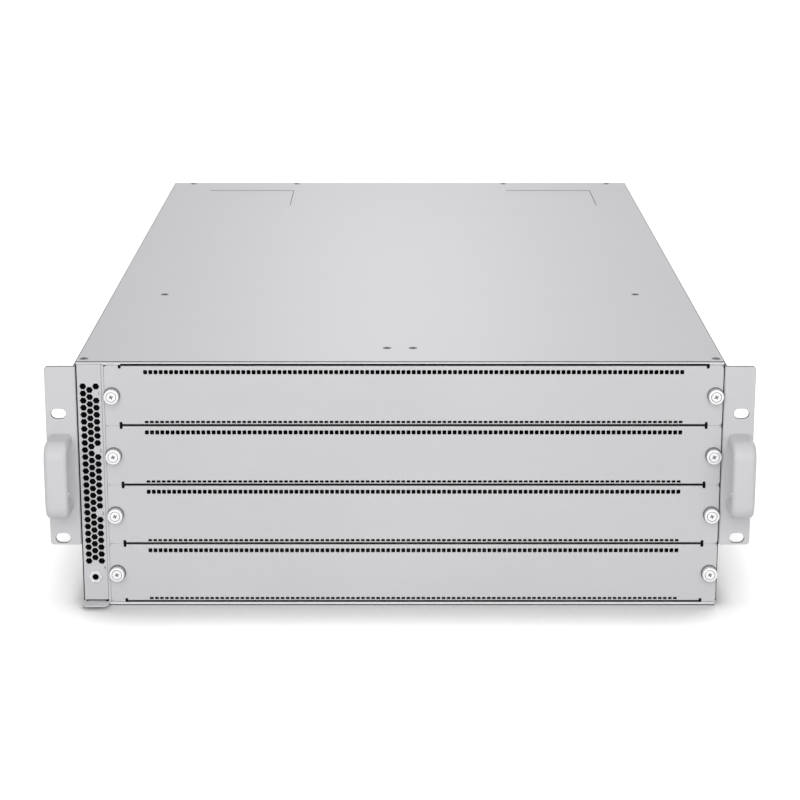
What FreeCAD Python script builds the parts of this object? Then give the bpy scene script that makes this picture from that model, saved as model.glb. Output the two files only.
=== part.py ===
import FreeCAD, Part
import math
import os
import re
import Sketcher

# Modular chassis switch, four rack units high, with four blanked slots.
# Frame: +X to the right seen from the front, the front faces -Y, +Z up.
# Origin: the middle of the flat underside. All sizes in millimetres.

SIZES = {
    "body_width": 440.0,
    "body_height": 175.0,
    "body_depth": 720.0,
    "chassis_sheet": 1.8,
    "inner_sheet": 1.2,
    "seat_gap": 0.3,
    "fit_gap": 0.1,
    "cut_past": 1.0,
    "top_flange": 7.4,
    "edge_strip": 2.7,
    "panel_width": 420.0,
    "panel_shift": 9.3,
    "panel_sheet": 1.0,
    "landing_gap": 0.3,
    "fold_gap": 1.4,
    "landing_width": 10.5,
    "fold_depth": 12.5,
    "fold_radius": 1.0,
    "notch_width": 2.0,
    "notch_depth": 2.3,
    "perf_pitch": 3.5,
    "perf_count": 105,
    "perf_every": 4,
    "perf_width": 2.7,
    "perf_height": 2.9,
    "perf_drop": 5.2,
    "knob_radius": 5.15,
    "knob_length": 5.5,
    "shank_radius": 1.6,
    "shank_length": 15.0,
    "shank_play": 0.3,
    "knob_inset": 4.9,
    "knob_rise": 0.1,
    "frame_sheet": 1.5,
    "frame_setback": 15.0,
    "frame_depth": 30.0,
    "column_wall": 1.5,
    "column_gap": 0.8,
    "vent_foot": 4.2,
    "vent_head": 2.6,
    "vent_flange": 10.0,
    "hex_across": 4.2,
    "hex_pitch_x": 4.4,
    "hex_pitch_z": 5.0,
    "hex_middle_x": -211.0,
    "hex_top_drop": 17.6,
    "jack_x": -211.0,
    "jack_height": 21.5,
    "jack_bore": 2.05,
    "jack_radius": 3.0,
    "jack_length": 16.0,
    "nut_across": 8.0,
    "nut_thickness": 2.2,
    "ear_reach": 482.6,
    "ear_sheet": 2.0,
    "ear_leg": 48.0,
    "ear_bottom": 44.5,
    "ear_height": 127.0,
    "ear_corner": 2.4,
    "rack_spacing": 465.1,
    "rack_first": 49.4,
    "rack_second": 81.15,
    "rack_third": 138.3,
    "rack_slot_width": 7.0,
    "rack_slot_length": 10.4,
    "ear_screw_radius": 3.2,
    "ear_screw_head": 1.6,
    "ear_screw_pitch": 42.0,
    "handle_x": 232.0,
    "handle_z": 96.9,
    "handle_length": 54.4,
    "handle_reach": 30.0,
    "handle_width": 15.6,
    "handle_thickness": 8.5,
    "handle_bend": 7.5,
    "handle_edge": 2.6,
    "cover_screw_radius": 2.8,
    "cover_screw_head": 0.5,
    "corner_screw_inset": 5.0,
    "corner_screw_back": 8.2,
    "middle_screw_x": 9.0,
    "middle_screw_back": 38.6,
    "side_screw_inset": 40.0,
    "side_screw_back": 211.0,
    "rear_screw_inset": 18.5,
    "rear_screw_edge": 6.0,
    "field_width": 81.0,
    "field_inner_x": 101.5,
    "field_back": 677.0,
    "field_length": 82.0,
    "field_depth": 0.3,
    "guide_ledge": 9.0,
    "guide_gap": 5.0,
    "guide_drop": 14.0,
    "backplane_y": 40.0,
    "backplane_thickness": 4.0,
    "backplane_margin": 4.0,
    "air_window_width": 330.0,
    "air_window_height": 12.0,
    "connector_width": 62.0,
    "connector_height": 12.0,
    "connector_depth": 18.0,
    "connector_pitch": 120.0,
    "module_connector_width": 31.0,
    "rear_pitch": 87.2,
    "supply_width": 84.0,
    "supply_height": 40.0,
    "supply_length": 290.0,
    "supply_foot": 0.8,
    "window_play": 0.4,
    "shelf_gap": 0.6,
    "rear_flange": 13.0,
    "fan_pitch": 145.2,
    "fan_plate_width": 144.4,
    "fan_plate_top": 2.4,
    "fan_plate_sheet": 1.5,
    "fan_box_width": 128.0,
    "fan_box_margin": 4.5,
    "fan_box_depth": 150.0,
    "fan_lift": 45.6,
    "fan_slot_width": 102.0,
    "fan_slot_height": 10.5,
    "fan_slot_pitch": 14.5,
    "fan_slot_count": 7,
    "fan_hub_radius": 20.0,
    "fan_hub_length": 25.0,
    "fan_hub_back": 15.0,
    "fan_tip_radius": 54.0,
    "fan_chord": 28.0,
    "fan_blade_sheet": 2.2,
    "fan_pin_radius": 3.0,
    "fan_pin_play": 0.08,
    "fan_strut_width": 14.0,
    "fan_strut_sheet": 3.0,
    "fan_strut_room": 4.0,
    "fan_lip": 14.0,
    "fan_lip_height": 51.0,
    "fan_screw_x": 68.0,
    "fan_knob_radius": 3.9,
    "bow_width": 9.0,
    "bow_sheet": 2.5,
    "bow_height": 34.0,
    "bow_reach": 24.0,
    "bow_room": 4.0,
    "inlet_x": 23.0,
    "inlet_width": 28.0,
    "inlet_height": 20.0,
    "inlet_depth": 18.0,
    "inlet_wall": 1.6,
    "inlet_pin": 2.0,
    "inlet_pin_lift": 2.0,
    "grille_x": 13.0,
    "grille_size": 36.0,
    "grille_sheet": 1.5,
    "grille_slot": 4.2,
    "grille_pitch": 6.6,
    "grille_count": 5,
    "fan_chamber": 26.0,
    "small_hub_radius": 9.0,
    "small_hub_length": 14.0,
    "small_hub_back": 4.0,
    "small_tip_radius": 17.0,
    "small_chord": 9.5,
    "blade_angle": 40.0,
    "blade_root": 0.8,
    "small_blade_sheet": 1.0,
    "small_pin_radius": 1.5,
    "latch_x": 38.5,
    "latch_sheet": 2.0,
    "latch_flare": 1.0,
    "latch_height": 14.0,
    "latch_reach": 9.0,
    "latch_depth": 14.0,
    "latch_travel": 3.5,
    "port_width": 13.0,
    "port_height": 11.0,
    "port_depth": 15.0,
    "port_pitch": 17.0,
    "port_start": 29.5,
    "port_rise": 7.5,
    "tab_width": 18.0,
    "tab_reach": 10.0,
    "tab_chamfer": 1.6,
    "tab_sheet": 1.0,
    "card_width": 12.4,
    "card_length": 76.0,
    "holder_extra": 4.0,
    "tab_lift": 0.3,
    "tab_headroom": 0.9,
}

# Places and sizes that follow from the driving ones.
DERIVED = {
    "half_width": "body_width / 2",
    "front": "-body_depth / 2",
    "back": "body_depth / 2",
    "wall_in": "half_width - chassis_sheet",
    "roof": "body_height - chassis_sheet",
    "slot_pitch": "(body_height - 2 * edge_strip) / 4",
    "landing_half": "(slot_pitch - landing_gap) / 2",
    "face_half": "(slot_pitch - fold_gap) / 2",
    "panel_half": "panel_width / 2",
    "fold_half": "panel_half - landing_width",
    "screw_hole": "shank_radius + shank_play",
    "cage_front": "front + panel_sheet + seat_gap",
    "cage_left": "panel_shift - panel_half - seat_gap",
    "post_left": "panel_shift - fold_half - seat_gap",
    "post_right": "panel_shift + fold_half + seat_gap",
    "rail_front": "front + frame_setback",
    "rail_back": "rail_front + frame_depth",
    "vent_left": "-half_width + column_gap",
    "vent_right": "cage_left - column_wall - seat_gap",
    "ear_outer": "ear_reach / 2",
    "ear_top": "ear_bottom + ear_height",
    "handle_leg": "(handle_length - handle_thickness) / 2",
    "supply_z": "chassis_sheet + supply_foot + supply_height / 2",
    "shelf_z": "supply_z + supply_height / 2 + window_play + shelf_gap",
    "fan_plate_height": "body_height - fan_plate_top - fan_lift",
    "fan_box_height": "fan_plate_height - 2 * fan_box_margin",
    "fan_z": "fan_lift + fan_plate_height / 2",
    "card_z": "chassis_sheet + tab_lift",
    "card_top": "card_z + tab_sheet",
    "card_x": "(vent_left + vent_right) / 2",
    "backplane_back": "backplane_y + backplane_thickness",
}

doc = FreeCAD.newDocument("modular_chassis_switch")
sheet = doc.addObject("Spreadsheet::Sheet", "Sizes")
for row, (alias, size) in enumerate(SIZES.items(), start=1):
    sheet.set(f"A{row}", str(size))
    sheet.setAlias(f"A{row}", alias)
doc.recompute()

nodes = {}

# Sides of the outlines that stand for small round ones, and for knobs and bores.
SMALL_SIDES = 8
KNOB_SIDES = 12
FAN_BLADES = 7
SMALL_BLADES = 5

# Card slots from the top down, and the rear modules from the left as seen from the front.
SLOTS = range(1, 5)
FANS = range(1, 4)
SUPPLIES = range(1, 5)
MANAGEMENT_BAY = 5
SIDES = (("left", -1), ("right", 1))
CLOSE = 0.01


def formula(text):
    """Writes a rule between named sizes as an expression on the sheet."""

    def swap(match):
        word = match.group(0)
        if word in DERIVED:
            return "(" + formula(DERIVED[word]) + ")"
        if word in SIZES:
            return "Sizes." + word
        return word

    return re.sub(r"[a-z_][a-z_0-9]*", swap, str(text))


def value(text):
    """The number that such a rule gives with the sheet's values."""
    return float(sheet.evalExpression(formula(text)))


def bind(thing, prop, text):
    thing.setExpression(prop, formula(text))


def place(thing, at):
    for axis, text in zip("xyz", at):
        bind(thing, "Placement.Base." + axis, text)


def constrain(sketch, kind, geometry, point, text):
    """Ties one point's distance from the sketch's origin to the sheet."""
    index = sketch.addConstraint(Sketcher.Constraint(kind, -1, 1, geometry, point, value(text)))
    sketch.setExpression(f"Constraints[{index}]", formula(text))


def polygon(sketch, points):
    """A closed outline of straight edges through the given points."""
    corners = [FreeCAD.Vector(value(a), value(b), 0) for a, b in points]
    last = len(corners) - 1
    edges = []
    for k, corner in enumerate(corners):
        follow = corners[0 if k == last else k + 1]
        edges.append(sketch.addGeometry(Part.LineSegment(corner, follow), False))
    for k, edge in enumerate(edges):
        follow = edges[0 if k == last else k + 1]
        sketch.addConstraint(Sketcher.Constraint("Coincident", edge, 2, follow, 1))
    for edge, (a, b) in zip(edges, points):
        constrain(sketch, "DistanceX", edge, 1, a)
        constrain(sketch, "DistanceY", edge, 1, b)


def circle(sketch, centre, radius):
    a, b = centre
    middle = FreeCAD.Vector(value(a), value(b), 0)
    ring = sketch.addGeometry(Part.Circle(middle, FreeCAD.Vector(0, 0, 1), value(radius)), False)
    constrain(sketch, "DistanceX", ring, 3, a)
    constrain(sketch, "DistanceY", ring, 3, b)
    index = sketch.addConstraint(Sketcher.Constraint("Radius", ring, value(radius)))
    sketch.setExpression(f"Constraints[{index}]", formula(radius))


def many_sided(a, b, radius, sides):
    """A regular outline with a flat side to the right, such as a small punched hole."""
    points = []
    for k in range(sides):
        angle = f"{360 / sides * (k + 0.5)}"
        points.append((f"{a} + ({radius}) * cos({angle})", f"{b} + ({radius}) * sin({angle})"))
    return points


def rect(a0, b0, a1, b1):
    return [(a0, b0), (a1, b0), (a1, b1), (a0, b1)]


def centred(a, b, width, height):
    """A rectangle round its middle."""
    return rect(
        f"{a} - ({width}) / 2",
        f"{b} - ({height}) / 2",
        f"{a} + ({width}) / 2",
        f"{b} + ({height}) / 2",
    )


class Piece:
    """One sub-part: a body whose pads and pockets run between two levels of one axis."""

    ROLE = {"X": "YZ_Plane", "Y": "XZ_Plane", "Z": "XY_Plane"}

    def __init__(self, name, at=(0, 0, 0), is_node=True):
        self.body = doc.addObject("PartDesign::Body", name)
        self.body.Label = name
        place(self.body, at)
        self.name = name
        self.count = 0
        if is_node:
            nodes[name] = self.body

    def origin(self, role):
        return next(f for f in self.body.Origin.OriginFeatures if f.Role == role)

    def sketch(self, axis, level):
        self.count += 1
        sketch = self.body.newObject("Sketcher::SketchObject", f"{self.name}_sketch_{self.count}")
        sketch.AttachmentSupport = (self.origin(self.ROLE[axis]), [""])
        sketch.MapMode = "FlatFace"
        sign = "-1" if axis == "Y" else "1"
        bind(sketch, "AttachmentOffset.Base.z", f"{sign} * ({level})")
        return sketch

    def draw(self, axis, level, outlines):
        sketch = self.sketch(axis, level)
        for outline in outlines:
            if isinstance(outline, list):
                polygon(sketch, outline)
            else:
                circle(sketch, outline[:2], outline[2])
        return sketch

    def pad(self, axis, low, high, *outlines):
        start = high if axis == "Y" else low
        feature = self.body.newObject("PartDesign::Pad", f"{self.name}_pad_{self.count}")
        feature.Profile = self.draw(axis, start, outlines)
        bind(feature, "Length", f"({high}) - ({low})")
        return feature

    def pocket(self, axis, low, high, *outlines):
        start = low if axis == "Y" else high
        feature = self.body.newObject("PartDesign::Pocket", f"{self.name}_pocket_{self.count}")
        feature.Profile = self.draw(axis, start, outlines)
        bind(feature, "Length", f"({high}) - ({low})")
        return feature

    def repeat(self, feature, axis, pitch, count):
        """Copies a feature in a row along an axis of the body."""
        pattern = self.body.newObject("PartDesign::LinearPattern", f"{feature.Name}_row")
        pattern.Originals = [feature]
        pattern.Direction = (self.origin(axis + "_Axis"), [""])
        bind(pattern, "Length", f"({pitch}) * (({count}) - 1)")
        bind(pattern, "Occurrences", count)
        self.body.Tip = pattern
        return pattern

    def spin(self, feature, axis, count):
        """Copies a feature round an axis of the body."""
        pattern = self.body.newObject("PartDesign::PolarPattern", f"{feature.Name}_ring")
        pattern.Originals = [feature]
        pattern.Axis = (self.origin(axis + "_Axis"), [""])
        pattern.Angle = 360
        pattern.Occurrences = count
        self.body.Tip = pattern
        return pattern

    def fillet(self, radius, test):
        """Rounds the edges whose middle passes the test."""
        doc.recompute()
        base = self.body.Tip
        edges = []
        for k, edge in enumerate(base.Shape.Edges, start=1):
            middle = edge.valueAt((edge.FirstParameter + edge.LastParameter) / 2)
            if test(middle, edge):
                edges.append(f"Edge{k}")
        feature = self.body.newObject("PartDesign::Fillet", f"{self.name}_fillet_{self.count}")
        feature.Base = (base, edges)
        bind(feature, "Radius", radius)
        return feature


def near(a, b):
    return abs(a - b) < CLOSE


def slot_z(n):
    """The middle height of slot n, counted from the top as on the front."""
    return f"edge_strip + slot_pitch * {4.5 - n}"


def fan_x(n):
    return f"{n - 2} * fan_pitch"


def bay_x(k):
    """The middle of lower rear bay k."""
    return f"{k - 3} * rear_pitch"


def knob_x(side):
    return f"{side} * (panel_half - knob_inset)"


def chassis_tray():
    """Floor and both sides folded from one sheet, with inward flanges under the cover."""
    tray = Piece("chassis_tray")
    flange = "wall_in - top_flange"
    under = "roof - chassis_sheet"
    section = [
        ("-half_width", "0"),
        ("half_width", "0"),
        ("half_width", "roof"),
        (flange, "roof"),
        (flange, under),
        ("wall_in", under),
        ("wall_in", "chassis_sheet"),
        ("-wall_in", "chassis_sheet"),
        ("-wall_in", under),
        (f"-({flange})", under),
        (f"-({flange})", "roof"),
        ("-half_width", "roof"),
    ]
    tray.pad("Y", "front", "back", section)
    above = rect("-body_width", "chassis_sheet", "body_width", "body_height")
    tray.pocket("Y", "front - seat_gap", "cage_front", above)
    return tray


COVER_SCREWS = [
    ("half_width - corner_screw_inset", "corner_screw_back"),
    ("middle_screw_x", "middle_screw_back"),
    ("half_width - side_screw_inset", "side_screw_back"),
    ("half_width - rear_screw_inset", "body_depth - rear_screw_edge"),
    ("(half_width - rear_screw_inset) / 2", "body_depth - rear_screw_edge"),
]


def cover_screw_places():
    """Where the cover's screws stand, as pairs of rules for x and y."""
    for x, t in COVER_SCREWS:
        for side in (-1, 1):
            yield f"{side} * ({x})", f"front + ({t})"


def top_cover():
    """Flat sheet over the whole body, with two shallow fields for labels."""
    cover = Piece("top_cover")
    cover.pad("Z", "roof", "body_height", rect("-half_width", "front", "half_width", "back"))
    for side in (-1, 1):
        x0 = f"{side} * field_inner_x"
        x1 = f"{side} * (field_inner_x + field_width)"
        y1 = "front + field_back"
        field = rect(x0, f"{y1} - field_length", x1, y1)
        cover.pocket("Z", "body_height - field_depth", "body_height + cut_past", field)
    return cover


def compound(name, solids):
    """Like fasteners, or sheets that are riveted or welded together, as one node."""
    group = doc.addObject("Part::Compound", name)
    group.Label = name
    group.Links = solids
    nodes[name] = group
    return group


def head(name, radius, length, at, turn=(0, 0, 1, 0), sides=SMALL_SIDES):
    """A small many-sided disc or bar along Z, or along the axis that the turn gives."""
    bar = doc.addObject("Part::Prism", name)
    bar.Polygon = sides
    bind(bar, "Circumradius", radius)
    bind(bar, "Height", length)
    bar.Placement.Rotation = FreeCAD.Rotation(FreeCAD.Vector(*turn[:3]), turn[3])
    place(bar, at)
    return bar


TO_BACK = (1, 0, 0, -90)
TO_FRONT = (1, 0, 0, 90)
TO_RIGHT = (0, 1, 0, 90)
TO_LEFT = (0, 1, 0, -90)


def fused(name, parts):
    whole = doc.addObject("Part::MultiFuse", name)
    whole.Shapes = parts
    return whole


def cover_screws():
    """Low screw heads on the cover."""
    screws = []
    for k, (x, y) in enumerate(cover_screw_places()):
        at = (x, y, "body_height")
        screws.append(head(f"cover_head_{k}", "cover_screw_radius", "cover_screw_head", at))
    return compound("cover_screws", screws)


def front_frame():
    """Sheet frame round the slots: rails set back behind the folds, and two landings."""
    frame = Piece("front_frame")
    left = "post_left - frame_sheet"
    right = "post_right + frame_sheet"
    ring = rect(left, "chassis_sheet", right, "roof")
    hole = rect("post_left", "chassis_sheet + frame_sheet", "post_right", "roof - frame_sheet")
    frame.pad("Y", "rail_front", "rail_back", ring, hole)
    web_top = "roof - chassis_sheet - seat_gap"
    left_web = rect(left, "chassis_sheet", "post_left", web_top)
    right_web = rect("post_right", "chassis_sheet", right, web_top)
    frame.pad("Y", "cage_front", "rail_front", left_web)
    frame.pad("Y", "cage_front", "rail_front", right_web)
    landing_back = "cage_front + frame_sheet"
    frame.pad("Y", "cage_front", landing_back, rect("cage_left", "chassis_sheet", left, web_top))
    frame.pad("Y", "cage_front", landing_back, rect(right, "chassis_sheet", "wall_in", web_top))
    holes = []
    for n in SLOTS:
        for word, side in SIDES:
            x = f"panel_shift + {knob_x(side)}"
            holes.append(many_sided(x, f"{slot_z(n)} + knob_rise", "screw_hole", SMALL_SIDES))
    frame.pocket("Y", "cage_front - cut_past", f"{landing_back} + cut_past", *holes)
    return frame


def blank_panel(n):
    """Folded slot cover: flat ends as landings, the middle folded back at top and bottom."""
    panel = Piece(f"blank_panel_{n}", ("panel_shift", "front", slot_z(n)))
    notch_out = "fold_half + notch_width / 2"
    notch_in = "fold_half - notch_width / 2"
    floor = "landing_half - notch_depth"
    quarter = [
        ("panel_half", "landing_half"),
        (notch_out, "landing_half"),
        (notch_out, floor),
        (notch_in, floor),
        (notch_in, "face_half"),
    ]
    upper = quarter + [(f"-({a})", b) for a, b in reversed(quarter)]
    outline = upper + [(a, f"-({b})") for a, b in reversed(upper)]
    panel.pad("Y", "0", "panel_sheet", outline)
    top = rect("panel_sheet / 2", "face_half - panel_sheet", "fold_depth", "face_half")
    low = rect("panel_sheet / 2", "-face_half", "fold_depth", "panel_sheet - face_half")
    panel.pad("X", f"-({notch_in})", notch_in, top)
    panel.pad("X", f"-({notch_in})", notch_in, low)
    half = value("face_half")
    run = 2 * value(notch_in)
    panel.fillet(
        "fold_radius",
        lambda p, e: near(p.y, 0) and near(abs(p.z), half) and near(e.Length, run),
    )
    for word, side in SIDES:
        hole = many_sided(knob_x(side), "knob_rise", "screw_hole", SMALL_SIDES)
        panel.pocket("Y", "-cut_past", "panel_sheet + cut_past", hole)
    start = "-perf_pitch * (perf_count - 1) / 2"
    opening = centred(start, "slot_pitch / 2 - perf_drop", "perf_width", "perf_height")
    first = panel.pocket("Y", "-cut_past", "panel_sheet + cut_past", opening)
    panel.repeat(first, "X", "perf_pitch * perf_every", "floor((perf_count - 1) / perf_every) + 1")
    return panel


def thumbscrew(name, at, turn, radius="knob_radius"):
    """Captive screw: a many-sided knob with a plain shank behind it."""
    knob = head(name + "_knob", radius, "knob_length", (0, 0, "seat_gap"), sides=KNOB_SIDES)
    below = (0, 0, "-shank_length")
    shank = head(name + "_shank", "shank_radius", "shank_length + seat_gap", below)
    screw = fused(name, [knob, shank])
    screw.Label = name
    screw.Placement.Rotation = FreeCAD.Rotation(FreeCAD.Vector(*turn[:3]), turn[3])
    place(screw, at)
    nodes[name] = screw
    return screw


def panel_screws(n):
    for word, side in SIDES:
        at = (f"panel_shift + {knob_x(side)}", "front", f"{slot_z(n)} + knob_rise")
        thumbscrew(f"thumbscrew_{n}_{word}", at, TO_FRONT)


def hexagon(a, b, across):
    """A hexagon with points to the left and right."""
    half = f"({across}) / 2"
    reach = f"({across}) / 2 / cos(30)"
    side = f"({across}) / 2 * tan(30)"
    return [
        (f"{a} + {reach}", b),
        (f"{a} + {side}", f"{b} + {half}"),
        (f"{a} - {side}", f"{b} + {half}"),
        (f"{a} - {reach}", b),
        (f"{a} - {side}", f"{b} - {half}"),
        (f"{a} + {side}", f"{b} - {half}"),
    ]


# Runs of hexagons in each column: column, first row, number of rows.
HEX_RUNS = [(-1, 0, 26), (0, 0.5, 25), (1, 0, 1), (1, 2, 7), (1, 10, 8), (1, 19, 7)]


def vent_grille():
    """Plate of the left column, with a honeycomb of air holes in three columns."""
    vent = Piece("vent_grille", (0, "front", 0))
    top = "body_height - vent_head"
    vent.pad("Y", "0", "panel_sheet", rect("vent_left", "vent_foot", "vent_right", top))
    flange_left = "-wall_in + seat_gap"
    for x0, x1 in (
        (flange_left, f"{flange_left} + panel_sheet"),
        ("vent_right - panel_sheet", "vent_right"),
    ):
        foot = "vent_foot + hex_pitch_z"
        flange = rect(x0, foot, x1, "roof - chassis_sheet - seat_gap")
        vent.pad("Y", "panel_sheet", "vent_flange", flange)
    first_z = "body_height - hex_top_drop"
    for column, first, rows in HEX_RUNS:
        x = f"hex_middle_x + {column} * hex_pitch_x"
        z = f"{first_z} - hex_pitch_z * {first + rows - 1}"
        cell = vent.pocket("Y", "-cut_past", "panel_sheet + cut_past", hexagon(x, z, "hex_across"))
        if rows > 1:
            vent.repeat(cell, "Z", "hex_pitch_z", rows)
    jack = many_sided("jack_x", "jack_height", "jack_radius + fit_gap", 2 * KNOB_SIDES)
    vent.pocket("Y", "-cut_past", "panel_sheet + cut_past", jack)
    return vent


def esd_jack():
    """Grounding socket: a barrel through the plate."""
    jack = Piece("esd_jack", ("jack_x", "front", "jack_height"))
    face = "-nut_thickness - seat_gap"
    ring = [many_sided("0", "0", "jack_radius", 2 * KNOB_SIDES), ("0", "0", "jack_bore")]
    jack.pad("Y", face, "jack_length", *ring)
    return jack


def esd_nut():
    nut = Piece("esd_nut", ("jack_x", "front", "jack_height"))
    hole = many_sided("0", "0", "jack_radius + fit_gap", 2 * KNOB_SIDES)
    nut.pad("Y", "-nut_thickness", "0", hexagon("0", "0", "nut_across"), hole)
    return nut


def rack_ear(word, side):
    """Bent bracket on the chassis side, with slots for the rack's screws."""
    ear = Piece(f"{word}_ear", (0, "front", 0))
    inner = f"{side} * half_width"
    leg = f"{side} * (half_width + ear_sheet)"
    outer = f"{side} * ear_outer"
    section = [
        (inner, "0"),
        (outer, "0"),
        (outer, "ear_sheet"),
        (leg, "ear_sheet"),
        (leg, "ear_leg"),
        (inner, "ear_leg"),
    ]
    ear.pad("Z", "ear_bottom", "ear_top", section)
    edge = value("ear_outer")
    sheet_edge = value("ear_sheet")
    ear.fillet("ear_corner", lambda p, e: near(abs(p.x), edge) and near(e.Length, sheet_edge))
    fold = value("half_width")
    ear.fillet("ear_sheet", lambda p, e: near(abs(p.x), fold) and near(p.y, 0))
    for height in ("rack_first", "rack_second", "rack_third"):
        rack_slot(ear, f"{side} * rack_spacing / 2", height)
    return ear


def rack_slot(ear, x, z):
    """A slot with round ends, long side level."""
    sketch = ear.sketch("Y", "-cut_past")
    radius = "rack_slot_width / 2"
    run = "(rack_slot_length - rack_slot_width) / 2"
    r = value(radius)
    ends = []
    for side, start in ((-1, 0.5), (1, 1.5)):
        centre = FreeCAD.Vector(value(f"{x} + {side} * {run}"), value(z), 0)
        ring = Part.Circle(centre, FreeCAD.Vector(0, 0, 1), r)
        arc = sketch.addGeometry(Part.ArcOfCircle(ring, start * math.pi, (start + 1) * math.pi), False)
        constrain(sketch, "DistanceX", arc, 3, f"{x} + {side} * {run}")
        constrain(sketch, "DistanceY", arc, 3, z)
        ends.append((arc, centre))
    (left, a), (right, b) = ends
    up = FreeCAD.Vector(0, r, 0)
    top = sketch.addGeometry(Part.LineSegment(b + up, a + up), False)
    low = sketch.addGeometry(Part.LineSegment(a - up, b - up), False)
    sketch.addConstraint(Sketcher.Constraint("Tangent", left, 1, top, 2))
    sketch.addConstraint(Sketcher.Constraint("Tangent", left, 2, low, 1))
    sketch.addConstraint(Sketcher.Constraint("Tangent", right, 1, low, 2))
    sketch.addConstraint(Sketcher.Constraint("Tangent", right, 2, top, 1))
    index = sketch.addConstraint(Sketcher.Constraint("Radius", left, r))
    sketch.setExpression(f"Constraints[{index}]", formula(radius))
    feature = ear.body.newObject("PartDesign::Pocket", f"{sketch.Name}_cut")
    feature.Profile = sketch
    bind(feature, "Length", "ear_sheet + 2 * cut_past")


def bow_handle(word, side):
    """Bow handle: a thick bar bent round two corners, with bevelled long edges."""
    handle = Piece(f"{word}_handle", (f"{side} * handle_x", "front", "handle_z"))
    sketch = handle.sketch("X", "-handle_width / 2")
    half = "handle_length / 2"
    outer = bow_line(sketch, half, "handle_reach", "handle_bend + handle_thickness / 2")
    inner = bow_line(
        sketch,
        f"{half} - handle_thickness",
        "handle_reach - handle_thickness",
        "handle_bend - handle_thickness / 2",
    )
    for side_end, point in ((0, 1), (4, 2)):
        a = sketch.getPoint(outer[side_end], point)
        b = sketch.getPoint(inner[side_end], point)
        foot = sketch.addGeometry(Part.LineSegment(a, b), False)
        sketch.addConstraint(Sketcher.Constraint("Coincident", foot, 1, outer[side_end], point))
        sketch.addConstraint(Sketcher.Constraint("Coincident", foot, 2, inner[side_end], point))
    bar = handle.body.newObject("PartDesign::Pad", handle.name + "_bar")
    bar.Profile = sketch
    bind(bar, "Length", "handle_width")
    doc.recompute()
    side_x = value("handle_width / 2")
    end_z = value(half)
    grip_y = value("handle_thickness / 2 - handle_reach")
    edges = []
    for k, edge in enumerate(bar.Shape.Edges, start=1):
        middle = edge.valueAt((edge.FirstParameter + edge.LastParameter) / 2)
        outside = middle.y < grip_y or near(abs(middle.z), end_z)
        if near(abs(middle.x), side_x) and outside and not near(middle.y, 0):
            edges.append(f"Edge{k}")
    bevel = handle.body.newObject("PartDesign::Chamfer", handle.name + "_bevel")
    bevel.Base = (bar, edges)
    bind(bevel, "Size", "handle_edge")
    return handle


def bow_line(sketch, half, reach, bend):
    """An open line: out, round, along, round and back, with its feet at the ear."""
    a = value(half)
    b = value(reach)
    r = value(bend)
    pi = math.pi
    V = FreeCAD.Vector
    low_ring = Part.Circle(V(r - b, r - a, 0), V(0, 0, 1), r)
    top_ring = Part.Circle(V(r - b, a - r, 0), V(0, 0, 1), r)
    parts = [
        Part.LineSegment(V(0, -a, 0), V(r - b, -a, 0)),
        Part.ArcOfCircle(low_ring, pi, 1.5 * pi),
        Part.LineSegment(V(-b, r - a, 0), V(-b, a - r, 0)),
        Part.ArcOfCircle(top_ring, 0.5 * pi, pi),
        Part.LineSegment(V(r - b, a, 0), V(0, a, 0)),
    ]
    line = [sketch.addGeometry(part, False) for part in parts]
    out, low, along, top, back = line
    sketch.addConstraint(Sketcher.Constraint("Tangent", out, 2, low, 2))
    sketch.addConstraint(Sketcher.Constraint("Tangent", low, 1, along, 1))
    sketch.addConstraint(Sketcher.Constraint("Tangent", along, 2, top, 2))
    sketch.addConstraint(Sketcher.Constraint("Tangent", top, 1, back, 1))
    sketch.addConstraint(Sketcher.Constraint("Horizontal", out))
    sketch.addConstraint(Sketcher.Constraint("Horizontal", back))
    constrain(sketch, "DistanceX", out, 1, "0")
    constrain(sketch, "DistanceY", out, 1, f"-({half})")
    constrain(sketch, "DistanceX", back, 2, "0")
    constrain(sketch, "DistanceY", back, 2, half)
    constrain(sketch, "DistanceX", along, 1, f"-({reach})")
    for arc in (low, top):
        index = sketch.addConstraint(Sketcher.Constraint("Radius", arc, r))
        sketch.setExpression(f"Constraints[{index}]", formula(bend))
    return line


def ear_fixings():
    """Pan-head screws that hold the ears, and screws that hold the handles from behind."""
    side_screws = []
    handle_screws = []
    for word, side in SIDES:
        turn = TO_LEFT if side < 0 else TO_RIGHT
        for step in (-1, 0, 1):
            z = f"(ear_bottom + ear_top) / 2 + {step} * ear_screw_pitch"
            at = (f"{side} * (half_width + ear_sheet)", "front + ear_leg / 2 + ear_sheet", z)
            name = f"ear_head_{word}_{step + 1}"
            side_screws.append(head(name, "ear_screw_radius", "ear_screw_head", at, turn))
        for step in (-1, 1):
            at = (f"{side} * handle_x", "front + ear_sheet", f"handle_z + {step} * handle_leg")
            name = f"handle_head_{word}_{step + 1}"
            handle_screws.append(head(name, "ear_screw_radius", "ear_screw_head", at, TO_BACK))
    compound("ear_screws", side_screws)
    compound("handle_screws", handle_screws)


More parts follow.
